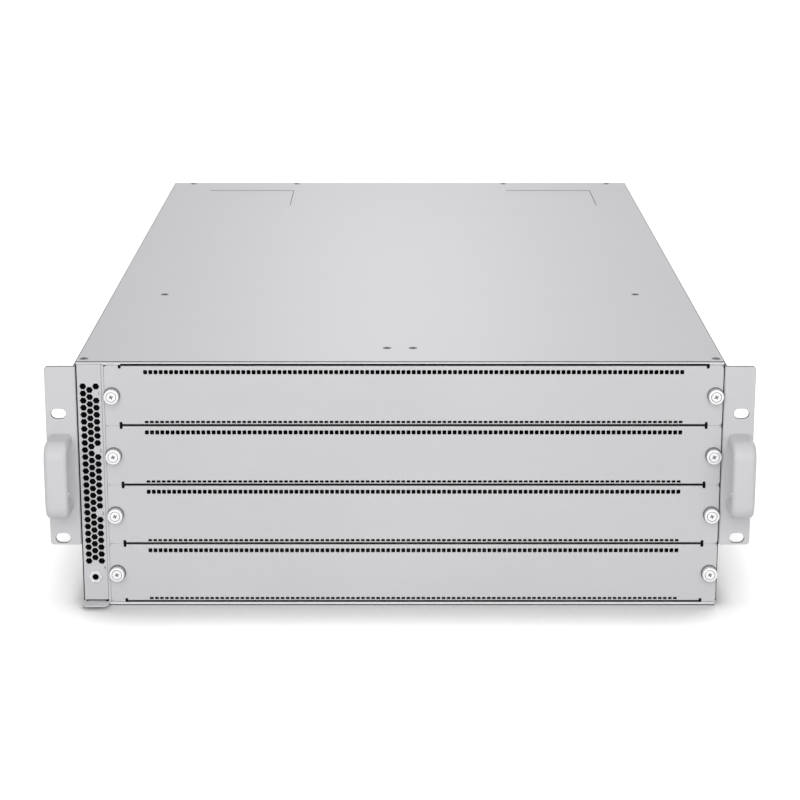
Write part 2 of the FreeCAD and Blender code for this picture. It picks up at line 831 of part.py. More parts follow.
def card_guides(word, side):
    """Wall of the card cage with four channels that the cards run in."""
    wall_face = "cage_left" if side < 0 else "wall_in - column_wall"
    wall_back = "cage_left - column_wall" if side < 0 else "wall_in"
    start = "front + seat_gap" if side < 0 else "rail_back + seat_gap"
    guides = Piece(f"{word}_card_guides", (wall_face, 0, 0))
    thick = f"({wall_back}) - ({wall_face})"
    guides.pad("Y", start, "backplane_y", rect(thick, "chassis_sheet", "0", "roof - chassis_sheet"))
    reach = f"{-side} * guide_ledge"
    base = f"{slot_z(4)} - guide_drop"
    low = rect("0", f"{base} - inner_sheet", reach, base)
    high = rect("0", f"{base} + guide_gap", reach, f"{base} + guide_gap + inner_sheet")
    rails = guides.pad("Y", "rail_back + seat_gap", "backplane_y", low, high)
    guides.repeat(rails, "Z", "slot_pitch", "4")
    return guides


def backplane():
    """Board across the body that cards, fans and supplies plug into."""
    board = Piece("backplane")
    left = "cage_left - column_wall"
    foot = "chassis_sheet + backplane_margin"
    outline = rect(left, foot, "wall_in - seat_gap", "roof - chassis_sheet - backplane_margin")
    board.pad("Y", "backplane_y", "backplane_back", outline)
    z = f"{slot_z(4)} + connector_height"
    opening = centred("panel_shift", z, "air_window_width", "air_window_height")
    window = board.pocket("Y", "backplane_y - cut_past", "backplane_back + cut_past", opening)
    board.repeat(window, "Z", "slot_pitch", "4")
    return board


def block(name, corner, opposite):
    """A moulded block or flat sheet between two opposite corners."""
    cuboid = doc.addObject("Part::Box", name)
    spans = [sorted(pair, key=value) for pair in zip(corner, opposite)]
    for prop, (low, high) in zip(("Length", "Width", "Height"), spans):
        bind(cuboid, prop, f"({high}) - ({low})")
    place(cuboid, [low for low, high in spans])
    return cuboid


def backplane_connectors():
    """Card connectors on the front of the board, module connectors on its back."""
    blocks = []
    half = "connector_width / 2"
    for n in SLOTS:
        for step in (-1, 0, 1):
            x = f"panel_shift + {step} * connector_pitch"
            z = slot_z(n)
            low = (f"{x} - {half}", "backplane_y - connector_depth", f"{z} - connector_height")
            high = (f"{x} + {half}", "backplane_y", z)
            blocks.append(block(f"card_connector_{n}_{step + 1}", low, high))
    half = "module_connector_width / 2"
    module_end = "back - supply_length - seat_gap"
    for k in (*SUPPLIES, MANAGEMENT_BAY):
        x = bay_x(k)
        low = (f"{x} - {half}", "backplane_back", "supply_z - connector_height / 2")
        high = (f"{x} + {half}", module_end, "supply_z + connector_height / 2")
        blocks.append(block(f"module_connector_{k}", low, high))
    return compound("backplane_connectors", blocks)


def rear_frame():
    """Rear wall with a window for each module, and a flange under the cover."""
    frame = Piece("rear_frame")
    inner = "back - chassis_sheet"
    frame.pad("Y", inner, "back", rect("-wall_in", "chassis_sheet", "wall_in", "roof - chassis_sheet"))
    flange_half = "wall_in - top_flange - seat_gap"
    flange = rect(f"-({flange_half})", "roof - chassis_sheet", flange_half, "roof")
    frame.pad("Y", "back - rear_flange", "back", flange)
    play = "2 * window_play"
    windows = []
    for k in (*SUPPLIES, MANAGEMENT_BAY):
        windows.append(centred(bay_x(k), "supply_z", f"supply_width + {play}", f"supply_height + {play}"))
    for n in FANS:
        windows.append(centred(fan_x(n), "fan_z", f"fan_box_width + {play}", f"fan_box_height + {play}"))
        windows.append(many_sided(f"{fan_x(n)} + fan_screw_x", "fan_z", "screw_hole", SMALL_SIDES))
    for window in windows:
        frame.pocket("Y", f"{inner} - cut_past", "back + cut_past", window)
    return frame


def bay_dividers():
    """Shelf between the upper and lower rear modules, with partitions welded to it."""
    inner = "back - chassis_sheet"
    half = "inner_sheet / 2"
    shelf_top = "shelf_z + inner_sheet"
    shelf_front = ("-wall_in", "backplane_back + seat_gap", "shelf_z")
    sheets = [block("bay_shelf", shelf_front, ("wall_in", inner, shelf_top))]
    for k in SUPPLIES:
        x = bay_x(k + 0.5)
        low = (f"{x} - {half}", f"{inner} - supply_length / 2", "chassis_sheet")
        sheets.append(block(f"lower_partition_{k}", low, (f"{x} + {half}", inner, "shelf_z")))
    for n in FANS[:-1]:
        x = fan_x(n + 0.5)
        low = (f"{x} - {half}", f"{inner} - fan_box_depth", shelf_top)
        sheets.append(block(f"upper_partition_{n}", low, (f"{x} + {half}", inner, "roof - chassis_sheet")))
    return compound("bay_dividers", sheets)


def fan_housing(n):
    """Fan module: plate with air slots and a grip, open box, and a strut with the rotor's pin."""
    x = fan_x(n)
    at = (x, "back", "fan_z")
    plate = Piece(f"fan_{n}_plate", at, is_node=False)
    plate.pad("Y", "0", "fan_plate_sheet", centred("0", "0", "fan_plate_width", "fan_plate_height"))
    low = "-fan_slot_pitch * (fan_slot_count - 1) / 2"
    slot = centred("0", low, "fan_slot_width", "fan_slot_height")
    first = plate.pocket("Y", "-cut_past", "fan_plate_sheet + cut_past", slot)
    plate.repeat(first, "Z", "fan_slot_pitch", "fan_slot_count")
    thread = many_sided("fan_screw_x", "0", "screw_hole", SMALL_SIDES)
    plate.pocket("Y", "-cut_past", "fan_plate_sheet + cut_past", thread)
    edge = "-fan_plate_width / 2"
    lip = rect(edge, "-fan_lip_height / 2", f"{edge} + inner_sheet", "fan_lip_height / 2")
    plate.pad("Y", "fan_plate_sheet", "fan_plate_sheet + fan_lip", lip)
    strut_back = "back - fan_hub_back - fan_hub_length - fan_strut_room"
    half = "(fan_box_width / 2 - inner_sheet)"
    low = (f"{x} - {half}", f"{strut_back} - fan_strut_sheet", "fan_z - fan_strut_width / 2")
    high = (f"{x} + {half}", strut_back, "fan_z + fan_strut_width / 2")
    strut = block(f"fan_{n}_strut", low, high)
    length = "fan_strut_room + fan_hub_length / 2"
    pin_at = (x, strut_back, "fan_z")
    pin = head(f"fan_{n}_pin", "fan_pin_radius", length, pin_at, TO_BACK, KNOB_SIDES)
    return compound(f"fan_{n}_housing", [plate.body, *fan_box(n), strut, pin])


def fan_box(n):
    """Four riveted sheets round the fan, open to the front."""
    x = fan_x(n)
    wide = "fan_box_width / 2"
    tall = "fan_box_height / 2"
    mouth = "back - fan_box_depth"
    sheets = []
    for level, side in (("low", -1), ("high", 1)):
        outer = (f"{x} - {wide}", mouth, f"fan_z + {side} * {tall}")
        inner = (f"{x} + {wide}", "back", f"fan_z + {side} * ({tall} - inner_sheet)")
        sheets.append(block(f"fan_{n}_deck_{level}", outer, inner))
    for word, side in SIDES:
        outer = (f"{x} + {side} * {wide}", mouth, f"fan_z + inner_sheet - {tall}")
        inner = (f"{x} + {side} * ({wide} - inner_sheet)", "back", f"fan_z + {tall} - inner_sheet")
        sheets.append(block(f"fan_{n}_wall_{word}", outer, inner))
    return sheets


def rotor(name, at, size, blades, pin):
    """Many-sided hub with twisted blades and a bore for its pin."""
    wheel = Piece(name, at)
    back = f"-{size}_hub_back"
    inner = f"{back} - {size}_hub_length"
    wheel.pad("Y", inner, back, many_sided("0", "0", f"{size}_hub_radius", 2 * blades))
    bore = many_sided("0", "0", f"({pin} + fan_pin_play) / cos({180 / KNOB_SIDES})", KNOB_SIDES)
    wheel.pocket("Y", inner, f"({inner} + {back}) / 2 + seat_gap", bore)
    middle = f"({inner} + {back}) / 2"
    section = blade_section(middle, f"{size}_chord", f"{size}_blade_sheet")
    blade = wheel.pad("Z", f"{size}_hub_radius * blade_root", f"{size}_tip_radius", section)
    wheel.spin(blade, "Y", blades)
    return wheel


def blade_section(middle, chord, thick):
    """A thin strip across the axis, pitched by the blade angle."""
    points = []
    for along, across in ((-1, -1), (1, -1), (1, 1), (-1, 1)):
        a = f"({along} * {chord} * cos(blade_angle) - {across} * {thick} * sin(blade_angle)) / 2"
        b = f"{middle} + ({along} * {chord} * sin(blade_angle) + {across} * {thick} * cos(blade_angle)) / 2"
        points.append((a, b))
    return points


def fan_module(n):
    fan_housing(n)
    rotor(f"fan_{n}_rotor", (fan_x(n), "back", "fan_z"), "fan", FAN_BLADES, "fan_pin_radius")
    knob_at = (f"{fan_x(n)} + fan_screw_x", "back + fan_plate_sheet", "fan_z")
    thumbscrew(f"fan_{n}_screw", knob_at, TO_BACK, "fan_knob_radius")


def bow(piece, x):
    """Strap handle bent from flat bar, standing on a module's face."""
    outer = rect("0", "-bow_height / 2", "bow_reach", "bow_height / 2")
    inside = "bow_height / 2 - bow_sheet"
    inner = rect("0", f"-({inside})", "bow_reach - bow_sheet", inside)
    points = outer[1:3] + [outer[3], inner[3], inner[2], inner[1], inner[0], outer[0]]
    piece.pad("X", f"{x} - bow_width / 2", f"{x} + bow_width / 2", points)


def latch(name, at):
    """Release tab pressed towards the middle of the module."""
    tab = Piece(name, at)
    half = "latch_height / 2"
    section = [
        ("0", "-latch_depth"),
        ("0", "latch_reach"),
        ("-latch_sheet - latch_flare", "latch_reach"),
        ("-latch_sheet", "0"),
        ("-latch_sheet", "-latch_depth"),
    ]
    tab.pad("Z", f"-{half}", half, section)
    return tab


def latch_slot(case):
    """Recess in the module's face that the release tab moves in."""
    half = "latch_height / 2 + seat_gap"
    inner = "latch_x - latch_sheet - latch_travel - 2 * seat_gap"
    slot = rect(inner, f"-({half})", "latch_x + seat_gap", half)
    case.pocket("Y", "-latch_depth - seat_gap", "cut_past", slot)


def supply(k):
    """Plug-in power supply: case, mains inlet, fan rotor and release tab."""
    x = bay_x(k)
    at = (x, "back", "supply_z")
    case = Piece(f"supply_{k}_case", at)
    case.pad("Y", "-supply_length", "0", centred("0", "0", "supply_width", "supply_height"))
    chamber = centred("grille_x", "0", "grille_size", "grille_size")
    case.pocket("Y", "-grille_sheet - fan_chamber", "-grille_sheet", chamber)
    pin_top = "-small_hub_back - small_hub_length / 2"
    pin = many_sided("grille_x", "0", "small_pin_radius", KNOB_SIDES)
    case.pad("Y", "-grille_sheet - fan_chamber", pin_top, pin)
    low = "-grille_pitch * (grille_count - 1) / 2"
    slot = centred("grille_x", low, "grille_size - 2 * grille_sheet", "grille_slot")
    first = case.pocket("Y", "-grille_sheet - cut_past", "cut_past", slot)
    case.repeat(first, "Z", "grille_pitch", "grille_count")
    seat = centred("-inlet_x", "0", "inlet_width + 2 * fit_gap", "inlet_height + 2 * fit_gap")
    case.pocket("Y", "-inlet_depth - seat_gap", "cut_past", seat)
    latch_slot(case)
    bow(case, "grille_x")
    inlet = Piece(f"supply_{k}_inlet", (f"{x} - inlet_x", "back", "supply_z"))
    inlet.pad("Y", "-inlet_depth", "0", centred("0", "0", "inlet_width", "inlet_height"))
    mouth = centred("0", "0", "inlet_width - 2 * inlet_wall", "inlet_height - 2 * inlet_wall")
    inlet.pocket("Y", "inlet_wall - inlet_depth", "cut_past", mouth)
    for step, lift in ((-1, -1), (0, 1), (1, -1)):
        pin_x = f"{step} * inlet_width / 4"
        pin = centred(pin_x, f"{lift} * inlet_pin_lift", "inlet_pin", "2 * inlet_pin")
        inlet.pad("Y", "inlet_wall - inlet_depth", "-inlet_wall", pin)
    rotor_at = (f"{x} + grille_x", "back", "supply_z")
    rotor(f"supply_{k}_rotor", rotor_at, "small", SMALL_BLADES, "small_pin_radius")
    latch(f"supply_{k}_latch", (f"{x} + latch_x", "back", "supply_z"))


def management_module():
    """Plug-in control module beside the supplies, with sockets for cables."""
    x = bay_x(MANAGEMENT_BAY)
    case = Piece("management_module", (x, "back", "supply_z"))
    case.pad("Y", "-supply_length", "0", centred("0", "0", "supply_width", "supply_height"))
    port = centred("-port_start", "port_rise", "port_width", "port_height")
    first = case.pocket("Y", "-port_depth", "cut_past", port)
    case.repeat(first, "X", "port_pitch", "3")
    latch_slot(case)
    bow(case, "latch_x - latch_travel - bow_width - bow_room")
    latch("management_latch", (f"{x} + latch_x", "back", "supply_z"))


def label_tab():
    """Pull-out card for a label: a long tongue with a wider lip in front."""
    tab = Piece("label_tab", ("card_x", "front", "card_z"))
    half = "tab_width / 2"
    card = "card_width / 2"
    outline = [
        (f"-{half} + tab_chamfer", "-tab_reach"),
        (f"{half} - tab_chamfer", "-tab_reach"),
        (half, "tab_chamfer - tab_reach"),
        (half, "-seat_gap"),
        (card, "-seat_gap"),
        (card, "card_length"),
        (f"-{card}", "card_length"),
        (f"-{card}", "-seat_gap"),
        (f"-{half}", "-seat_gap"),
        (f"-{half}", "tab_chamfer - tab_reach"),
    ]
    tab.pad("Z", "0", "tab_sheet", outline)
    return tab


def label_holder():
    """Channel on the floor that the label card slides in."""
    start = "panel_sheet + seat_gap"
    holder = Piece("label_holder", ("card_x", "front", 0))
    half = "card_width / 2 + seat_gap"
    outer = f"{half} + tab_sheet / 2"
    ceiling = "card_top + tab_headroom"
    section = [
        (f"-({outer})", "chassis_sheet"),
        (f"-({half})", "chassis_sheet"),
        (f"-({half})", ceiling),
        (half, ceiling),
        (half, "chassis_sheet"),
        (outer, "chassis_sheet"),
        (outer, f"{ceiling} + tab_sheet / 2"),
        (f"-({outer})", f"{ceiling} + tab_sheet / 2"),
    ]
    holder.pad("Y", start, "card_length + holder_extra", section)
    return holder


def build():
    chassis_tray()
    top_cover()
    cover_screws()
    front_frame()
    for n in SLOTS:
        blank_panel(n)
        panel_screws(n)
    vent_grille()
    esd_jack()
    esd_nut()
    for word, side in SIDES:
        rack_ear(word, side)
        bow_handle(word, side)
        card_guides(word, side)
    ear_fixings()
    backplane()
    backplane_connectors()
    rear_frame()
    bay_dividers()
    for n in FANS:
        fan_module(n)
    for k in SUPPLIES:
        supply(k)
    management_module()
    label_holder()
    label_tab()


def check_and_write():
    """Stops on a failed feature or a bad shape, then writes one file for each node."""
    doc.recompute()
    for thing in doc.Objects:
        if "Invalid" in thing.State or "Error" in thing.State:
            raise RuntimeError(f"{thing.Label} failed: {thing.State}")
    for name, thing in nodes.items():
        if thing.Shape.isNull() or not thing.Shape.isValid() or not thing.Shape.Solids:
            raise RuntimeError(f"{name} has no valid shape")
    os.makedirs("parts", exist_ok=True)
    for name, thing in nodes.items():
        thing.Shape.exportStep(f"parts/{name}.step")


build()
check_and_write()
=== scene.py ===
import math

import bmesh
import bpy
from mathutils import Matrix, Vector, geometry

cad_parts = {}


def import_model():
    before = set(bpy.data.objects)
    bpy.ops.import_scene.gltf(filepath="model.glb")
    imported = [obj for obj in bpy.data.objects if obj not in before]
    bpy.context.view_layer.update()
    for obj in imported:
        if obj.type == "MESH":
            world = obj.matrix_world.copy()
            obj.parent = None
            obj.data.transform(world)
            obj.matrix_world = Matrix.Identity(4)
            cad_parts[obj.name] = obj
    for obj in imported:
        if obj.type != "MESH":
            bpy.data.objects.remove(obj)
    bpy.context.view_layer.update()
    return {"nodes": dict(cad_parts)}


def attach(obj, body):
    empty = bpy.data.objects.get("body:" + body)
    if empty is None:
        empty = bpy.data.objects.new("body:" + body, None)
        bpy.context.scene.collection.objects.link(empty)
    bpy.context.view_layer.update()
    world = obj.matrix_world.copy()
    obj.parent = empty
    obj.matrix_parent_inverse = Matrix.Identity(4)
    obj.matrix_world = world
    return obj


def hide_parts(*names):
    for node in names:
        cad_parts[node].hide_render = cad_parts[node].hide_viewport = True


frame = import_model()

# Sizes below are in millimetres, in the frame of the CAD model; MM turns them into metres.
MM = 0.001
FRONT = -360.0
BACK = 360.0
HALF = 220.0            # half the chassis' width
TOP = 175.0
CHASSIS_SHEET = 1.8
PANEL_X = 9.3           # middle of the blank panels
SLOT_PITCH = 42.4
EDGE_STRIP = 2.7        # chassis under the lowest slot
VENT_X = -211.0         # middle of the left column
JACK_Z = 21.5
REAR_PITCH = 87.2       # from one plug-in module to the next
FAN_PITCH = 145.2
BAY_Z = 22.6            # middle of the plug-in modules
FAN_Z = 109.1           # middle of the fans
SIDES = ((-1, "left"), (1, "right"))


# Looks

def linear(*rgb):
    """Turns screen values from 0 to 255 into the linear colour that shaders use."""
    out = []
    for c in rgb:
        c = c / 255
        out.append(c / 12.92 if c < 0.04045 else ((c + 0.055) / 1.055) ** 2.4)
    return tuple(out) + (1.0,)


BROAD_SCALE = 9.0       # noise of the uneven tone and gloss
FINE_SHARE = 0.35       # of the fine noise in the tone
GLOSS_SPREAD = 0.05
BUMP_DEPTH = 0.0002     # metres
COAT_ROUGH = 0.2
BOARD_GREEN = (22, 74, 48)


def material(
    name, rgb, rough, metallic=0.0, grain=900.0, peel=0.06, mottle=0.03, stretch=(1, 1, 1), coat=0.0, shine=0.5,
):
    """A painted, plated or moulded finish: fine grain, broad uneven tone and a slightly uneven gloss.

    grain is the scale of the fine noise, peel the strength of its bumps, mottle the share by which the tone
    varies, stretch the noise's scale along each axis, and shine the level of the reflections.
    """
    m = bpy.data.materials.new(name)
    m.use_nodes = True
    nodes = m.node_tree.nodes
    link = m.node_tree.links.new
    shader = nodes["Principled BSDF"]
    shader.inputs["Metallic"].default_value = metallic
    shader.inputs["Specular IOR Level"].default_value = shine
    if coat:
        shader.inputs["Coat Weight"].default_value = coat
        shader.inputs["Coat Roughness"].default_value = COAT_ROUGH
    place = nodes.new("ShaderNodeTexCoord")
    scale = nodes.new("ShaderNodeMapping")
    scale.inputs["Scale"].default_value = stretch
    link(place.outputs["Object"], scale.inputs["Vector"])

    def cloud(size, detail):
        n = nodes.new("ShaderNodeTexNoise")
        n.inputs["Scale"].default_value = size
        n.inputs["Detail"].default_value = detail
        link(scale.outputs["Vector"], n.inputs["Vector"])
        return n.outputs["Fac"]

    fine = cloud(grain, 3.0)
    broad = cloud(BROAD_SCALE, 2.0)
    tone = nodes.new("ShaderNodeMix")
    tone.data_type = "FLOAT"
    tone.inputs["Factor"].default_value = FINE_SHARE
    link(broad, tone.inputs["A"])
    link(fine, tone.inputs["B"])
    ramp = nodes.new("ShaderNodeValToRGB")
    base = linear(*rgb)
    for stop, at, gain in zip(ramp.color_ramp.elements, (0.3, 0.7), (1 - mottle, 1 + mottle)):
        stop.position = at
        stop.color = tuple(min(c * gain, 1.0) for c in base[:3]) + (1.0,)
    link(tone.outputs["Result"], ramp.inputs["Fac"])
    link(ramp.outputs["Color"], shader.inputs["Base Color"])
    gloss = nodes.new("ShaderNodeMapRange")
    gloss.inputs["To Min"].default_value = rough - GLOSS_SPREAD
    gloss.inputs["To Max"].default_value = rough + GLOSS_SPREAD
    link(broad, gloss.inputs["Value"])
    link(gloss.outputs["Result"], shader.inputs["Roughness"])
    bump = nodes.new("ShaderNodeBump")
    bump.inputs["Strength"].default_value = peel
    bump.inputs["Distance"].default_value = BUMP_DEPTH
    link(fine, bump.inputs["Height"])
    link(bump.outputs["Normal"], shader.inputs["Normal"])
    return m


PANEL = material("panel_paint", (204, 204, 206), 0.42, grain=1300, peel=0.10, shine=0.35)
BODY = material("body_paint", (202, 202, 205), 0.42, grain=1300, peel=0.10, shine=0.35)
COVER = material("cover_paint", (200, 200, 203), 0.5, grain=1300, peel=0.08, shine=0.2)
EAR = material("ear_paint", (206, 206, 208), 0.42, grain=1300, peel=0.10, shine=0.35)
HANDLE = material("handle_paint", (208, 208, 211), 0.45, grain=1500, peel=0.06, shine=0.3)
# Dark lines of painted shade along sheet edges, the label fields' walls and the front's foot.
EDGE_SHADE = material("painted_edge_shade", (92, 92, 96), 0.55, grain=2000)
# Near-black painted shade: sheets put in gaps, behind holes and in a bore, where only shade falls.
SHADE_FILL = material("painted_shade_fill", (10, 10, 11), 0.8, grain=1800, shine=0.1)
KNOB = material("nickel_knob", (240, 240, 241), 0.3, metallic=0.35, grain=1500, peel=0.03, stretch=(1, 8, 1))
# Collar metal darkened as painted shadow round the knobs; also painted shade on the knobs' recess floors.
SHADED_FERRULE = material("ferrule_painted_shade", (108, 108, 111), 0.45, metallic=0.4, grain=1500, peel=0.03)
ZINC = material("zinc_sheet", (188, 190, 194), 0.36, metallic=0.9, grain=420, peel=0.03, mottle=0.08)
BRIGHT = material("bright_metal", (214, 215, 218), 0.24, metallic=1.0, grain=1500, peel=0.02, stretch=(6, 1, 1))
SCREW = material("dark_screw", (74, 74, 78), 0.38, metallic=0.7, grain=2200, peel=0.05)
BLACK = material("black_plastic", (30, 30, 32), 0.45, grain=1700, peel=0.12, mottle=0.10)
TAB = material("label_plastic", (206, 206, 208), 0.45, grain=1200, peel=0.04)
LATCH = material("latch_plastic", (66, 118, 92), 0.42, grain=1500, peel=0.08)
# Near-white strips: painted highlight where the front's rounded lips catch the light.
HIGHLIGHT_STRIP = material("painted_highlight_strip", (238, 238, 240), 0.35, grain=1300, peel=0.05)
INK = material("print_ink", (78, 80, 84), 0.6, grain=2500)
GOLD = material("gold_contact", (212, 170, 92), 0.25, metallic=1.0, grain=1500, peel=0.02)
LENS = material("lamp_lens", (120, 200, 130), 0.2, grain=900, coat=0.5)


def board_material():
    """Green circuit board with paler copper runs under the solder mask."""
    m = material("board_mask", BOARD_GREEN, 0.32, grain=700, peel=0.08, mottle=0.15, coat=0.3)
    nodes = m.node_tree.nodes
    link = m.node_tree.links.new
    bricks = nodes.new("ShaderNodeTexBrick")
    bricks.inputs["Scale"].default_value = 60.0
    bricks.inputs["Mortar Size"].default_value = 0.012
    bricks.inputs["Color1"].default_value = linear(*BOARD_GREEN)
    bricks.inputs["Color2"].default_value = linear(26, 82, 54)
    bricks.inputs["Mortar"].default_value = linear(52, 116, 80)
    turn = nodes.new("ShaderNodeMapping")
    turn.inputs["Rotation"].default_value = (math.radians(90), 0, 0)
    link(nodes["Texture Coordinate"].outputs["Object"], turn.inputs["Vector"])
    link(turn.outputs["Vector"], bricks.inputs["Vector"])
    link(bricks.outputs["Color"], nodes["Principled BSDF"].inputs["Base Color"])
    return m


BOARD = board_material()


# Outlines are lists of points (a, b); parts are pairs of lists, points (u, v, w) and faces

SHARP_ANGLE = 32        # degrees; flatter edges are shaded smooth


def arc(a, b, radius, start, end, steps):
    """Points of an arc round (a, b), angles in degrees."""
    out = []
    for k in range(steps + 1):
        t = math.radians(start + (end - start) * k / steps)
        out.append((a + radius * math.cos(t), b + radius * math.sin(t)))
    return out


def ring(a, b, radius, sides):
    """The corners of a regular polygon, the first of them to the right."""
    return arc(a, b, radius, 0, 360, sides)[:-1]


def box_line(a, b, width, height):
    """The corners of a rectangle round its middle."""
    w = width / 2
    h = height / 2
    return [(a - w, b - h), (a + w, b - h), (a + w, b + h), (a - w, b + h)]


def rounded(points, radius, steps=3):
    """Rounds every corner of an outline; radius is one size or one for each corner."""
    n = len(points)
    sizes = radius if isinstance(radius, (list, tuple)) else [radius] * n
    out = []
    for k in range(n):
        p = Vector(points[k])
        before = Vector(points[k - 1]) - p
        after = Vector(points[(k + 1) % n]) - p
        half = before.angle(after) / 2
        size = sizes[k]
        if size <= 0 or half > math.radians(89):
            out.append(tuple(p))
            continue
        cut = min(size / math.tan(half), before.length * 0.49, after.length * 0.49)
        size = cut * math.tan(half)
        middle = p + (before.normalized() + after.normalized()).normalized() * (size / math.sin(half))
        first = p + before.normalized() * cut - middle
        last = p + after.normalized() * cut - middle
        sweep = first.angle_signed(last)
        for s in range(steps + 1):
            t = -sweep * s / steps
            c, d = math.cos(t), math.sin(t)
            out.append((middle.x + first.x * c - first.y * d, middle.y + first.x * d + first.y * c))
    return out


def slotted(a, b, length, width, steps=6):
    """A slot with round ends, its long side level."""
    run = (length - width) / 2
    right = arc(a + run, b, width / 2, -90, 90, steps)
    return right + arc(a - run, b, width / 2, 90, 270, steps)


def oriented(points, outer):
    """The outline anticlockwise for an outer one, clockwise for a hole."""
    area = sum(p[0] * q[1] - q[0] * p[1] for p, q in zip(points, points[1:] + points[:1]))
    return list(points) if (area > 0) == outer else list(reversed(points))


def inset(points, size):
    """Moves an outline into the material that it bounds."""
    out = []
    n = len(points)
    for k in range(n):
        p = Vector(points[k])
        a = (p - Vector(points[k - 1])).normalized()
        b = (Vector(points[(k + 1) % n]) - p).normalized()
        left = Vector((-a.y, a.x))
        lean = left + Vector((-b.y, b.x))
        reach = lean.dot(left)
        out.append(tuple(p + lean * (size / reach if reach > 0.2 else 0)))
    return out


def split(part):
    """Divides a plate into its two flat faces and its cut edges."""
    points, faces = part
    flat = [f for f in faces if len({round(points[k][2], 4) for k in f}) == 1]
    edges = [f for f in faces if len({round(points[k][2], 4) for k in f}) > 1]
    return (points, flat), (points, edges)


def within(p, loop):
    """Whether a point lies inside a closed outline."""
    inside = False
    for a, b in zip(loop, loop[1:] + loop[:1]):
        if (a.y > p.y) != (b.y > p.y) and p.x < a.x + (b.x - a.x) * (p.y - a.y) / (b.y - a.y):
            inside = not inside
    return inside


def slab(outline, holes=(), thick=1.0, edge=0.12):
    """A flat plate with holes and small chamfers: u and v across it, w from its outer face inwards."""
    loops = [oriented(outline, True)] + [oriented(h, False) for h in holes]
    points = []
    faces = []
    caps = []
    for level, size in ((0.0, edge), (edge, 0.0), (thick - edge, 0.0), (thick, edge)):
        starts = []
        for loop in loops:
            starts.append(len(points))
            shape = inset(loop, size) if size else loop
            points += [(u, v, level) for u, v in shape]
        caps.append(starts)
    for low, high in zip(caps, caps[1:]):
        for a, b, loop in zip(low, high, loops):
            n = len(loop)
            for k in range(n):
                m = (k + 1) % n
                faces.append((a + k, a + m, b + m, b + k))
    flat = [Vector(p[:2]) for p in points[:sum(len(loop) for loop in loops)]]
    rims = []
    owner = []
    for number, (a, loop) in enumerate(zip(caps[0], loops)):
        n = len(loop)
        rims += [(a + k, a + (k + 1) % n) for k in range(n)]
        owner += [number] * n
    found = geometry.delaunay_2d_cdt(flat, rims, [], 0, 1e-6)
    if len(found[0]) != len(flat):
        raise ValueError("an outline of a plate crosses itself")
    names = [origin[0] for origin in found[3]]
    last = caps[3][0]
    for face in found[2]:
        own = [names[k] for k in face]
        group = {owner[k] for k in own}
        if len(group) == 1:
            number = group.pop()
            start = caps[0][number]
            middle = sum((flat[k] for k in own), Vector((0, 0))) / 3
            if within(middle, flat[start:start + len(loops[number])]) != (number == 0):
                continue
        faces.append(tuple(reversed(own)))
        faces.append(tuple(k + last for k in own))
    return points, faces


def lathe(line, sides=32, flutes=0, depth=0.0, span=(0, 0)):
    """Turns a line of (radius, height) about w; flutes are cut where the height is in the span."""
    points = []
    faces = []
    for r, h in line:
        for k in range(sides):
            t = 2 * math.pi * k / sides
            own = r
            if flutes and span[0] <= h <= span[1]:
                own = r - depth * (0.5 + 0.5 * math.cos(flutes * t))
            points.append((own * math.cos(t), own * math.sin(t), h))
    for j in range(len(line) - 1):
        for k in range(sides):
            m = (k + 1) % sides
            a = j * sides
            faces.append((a + k, a + m, a + m + sides, a + k + sides))
    faces.append(tuple(reversed(range(sides))))
    last = (len(line) - 1) * sides
    faces.append(tuple(range(last, last + sides)))
    return points, faces


def swept(section, stations):
    """A closed section (a, b) carried along stations of (origin, direction of a, direction of b)."""
    points = []
    faces = []
    n = len(section)
    for origin, across, out in stations:
        for a, b in section:
            points.append(tuple(Vector(origin) + Vector(across) * a + Vector(out) * b))
    for j in range(len(stations) - 1):
        for k in range(n):
            m = (k + 1) % n
            a = j * n
            faces.append((a + k, a + m, a + m + n, a + k + n))
    faces.append(tuple(reversed(range(n))))
    faces.append(tuple(range(len(points) - n, len(points))))
    return points, faces


def cut(part, *planes):
    """Divides a part along planes u = size or v = size, so that it can bend there."""
    bm = bmesh.new()
    corners = [bm.verts.new(p) for p in part[0]]
    for face in part[1]:
        bm.faces.new([corners[k] for k in face])
    for axis, size in planes:
        place = [0.0, 0.0, 0.0]
        place["uvw".index(axis)] = size
        normal = [0.0, 0.0, 0.0]
        normal["uvw".index(axis)] = 1.0
        everything = bm.verts[:] + bm.edges[:] + bm.faces[:]
        bmesh.ops.bisect_plane(bm, geom=everything, plane_co=place, plane_no=normal, dist=1e-4)
    bm.verts.index_update()
    out = [tuple(v.co) for v in bm.verts], [tuple(v.index for v in f.verts) for f in bm.faces]
    bm.free()
    return out


def shaped(part, rule):
    """Takes every point of a part to where the rule puts it."""
    return [rule(*p) for p in part[0]], part[1]


def moved(part, x, y, z):
    return shaped(part, lambda a, b, c: (a + x, b + y, c + z))


def to_front(part, x=0.0, y=FRONT, z=0.0):
    """Stands a plate up: its outer face looks to the front, at y."""
    return shaped(part, lambda u, v, w: (x + u, y + w, z + v))


def to_back(part, x=0.0, y=BACK, z=0.0):
    """Stands a plate up: its outer face looks to the back, at y."""
    return shaped(part, lambda u, v, w: (x + u, y - w, z + v))


def to_top(part, x, y, z):
    """Lays a plate down: its outer face looks up, at z."""
    return shaped(part, lambda u, v, w: (x + u, y + v, z - w))


def to_side(part, side, x, y=0.0, z=0.0):
    """Stands a plate up with its outer face to the left (-1) or the right (1)."""
    return shaped(part, lambda u, v, w: (side * (x - w), y + u, z + v))


def on_front(part, x, y, z):
    """Puts a turned part on a face at y, its w axis pointing to the front."""
    return shaped(part, lambda u, v, w: (x + u, y - w, z + v))


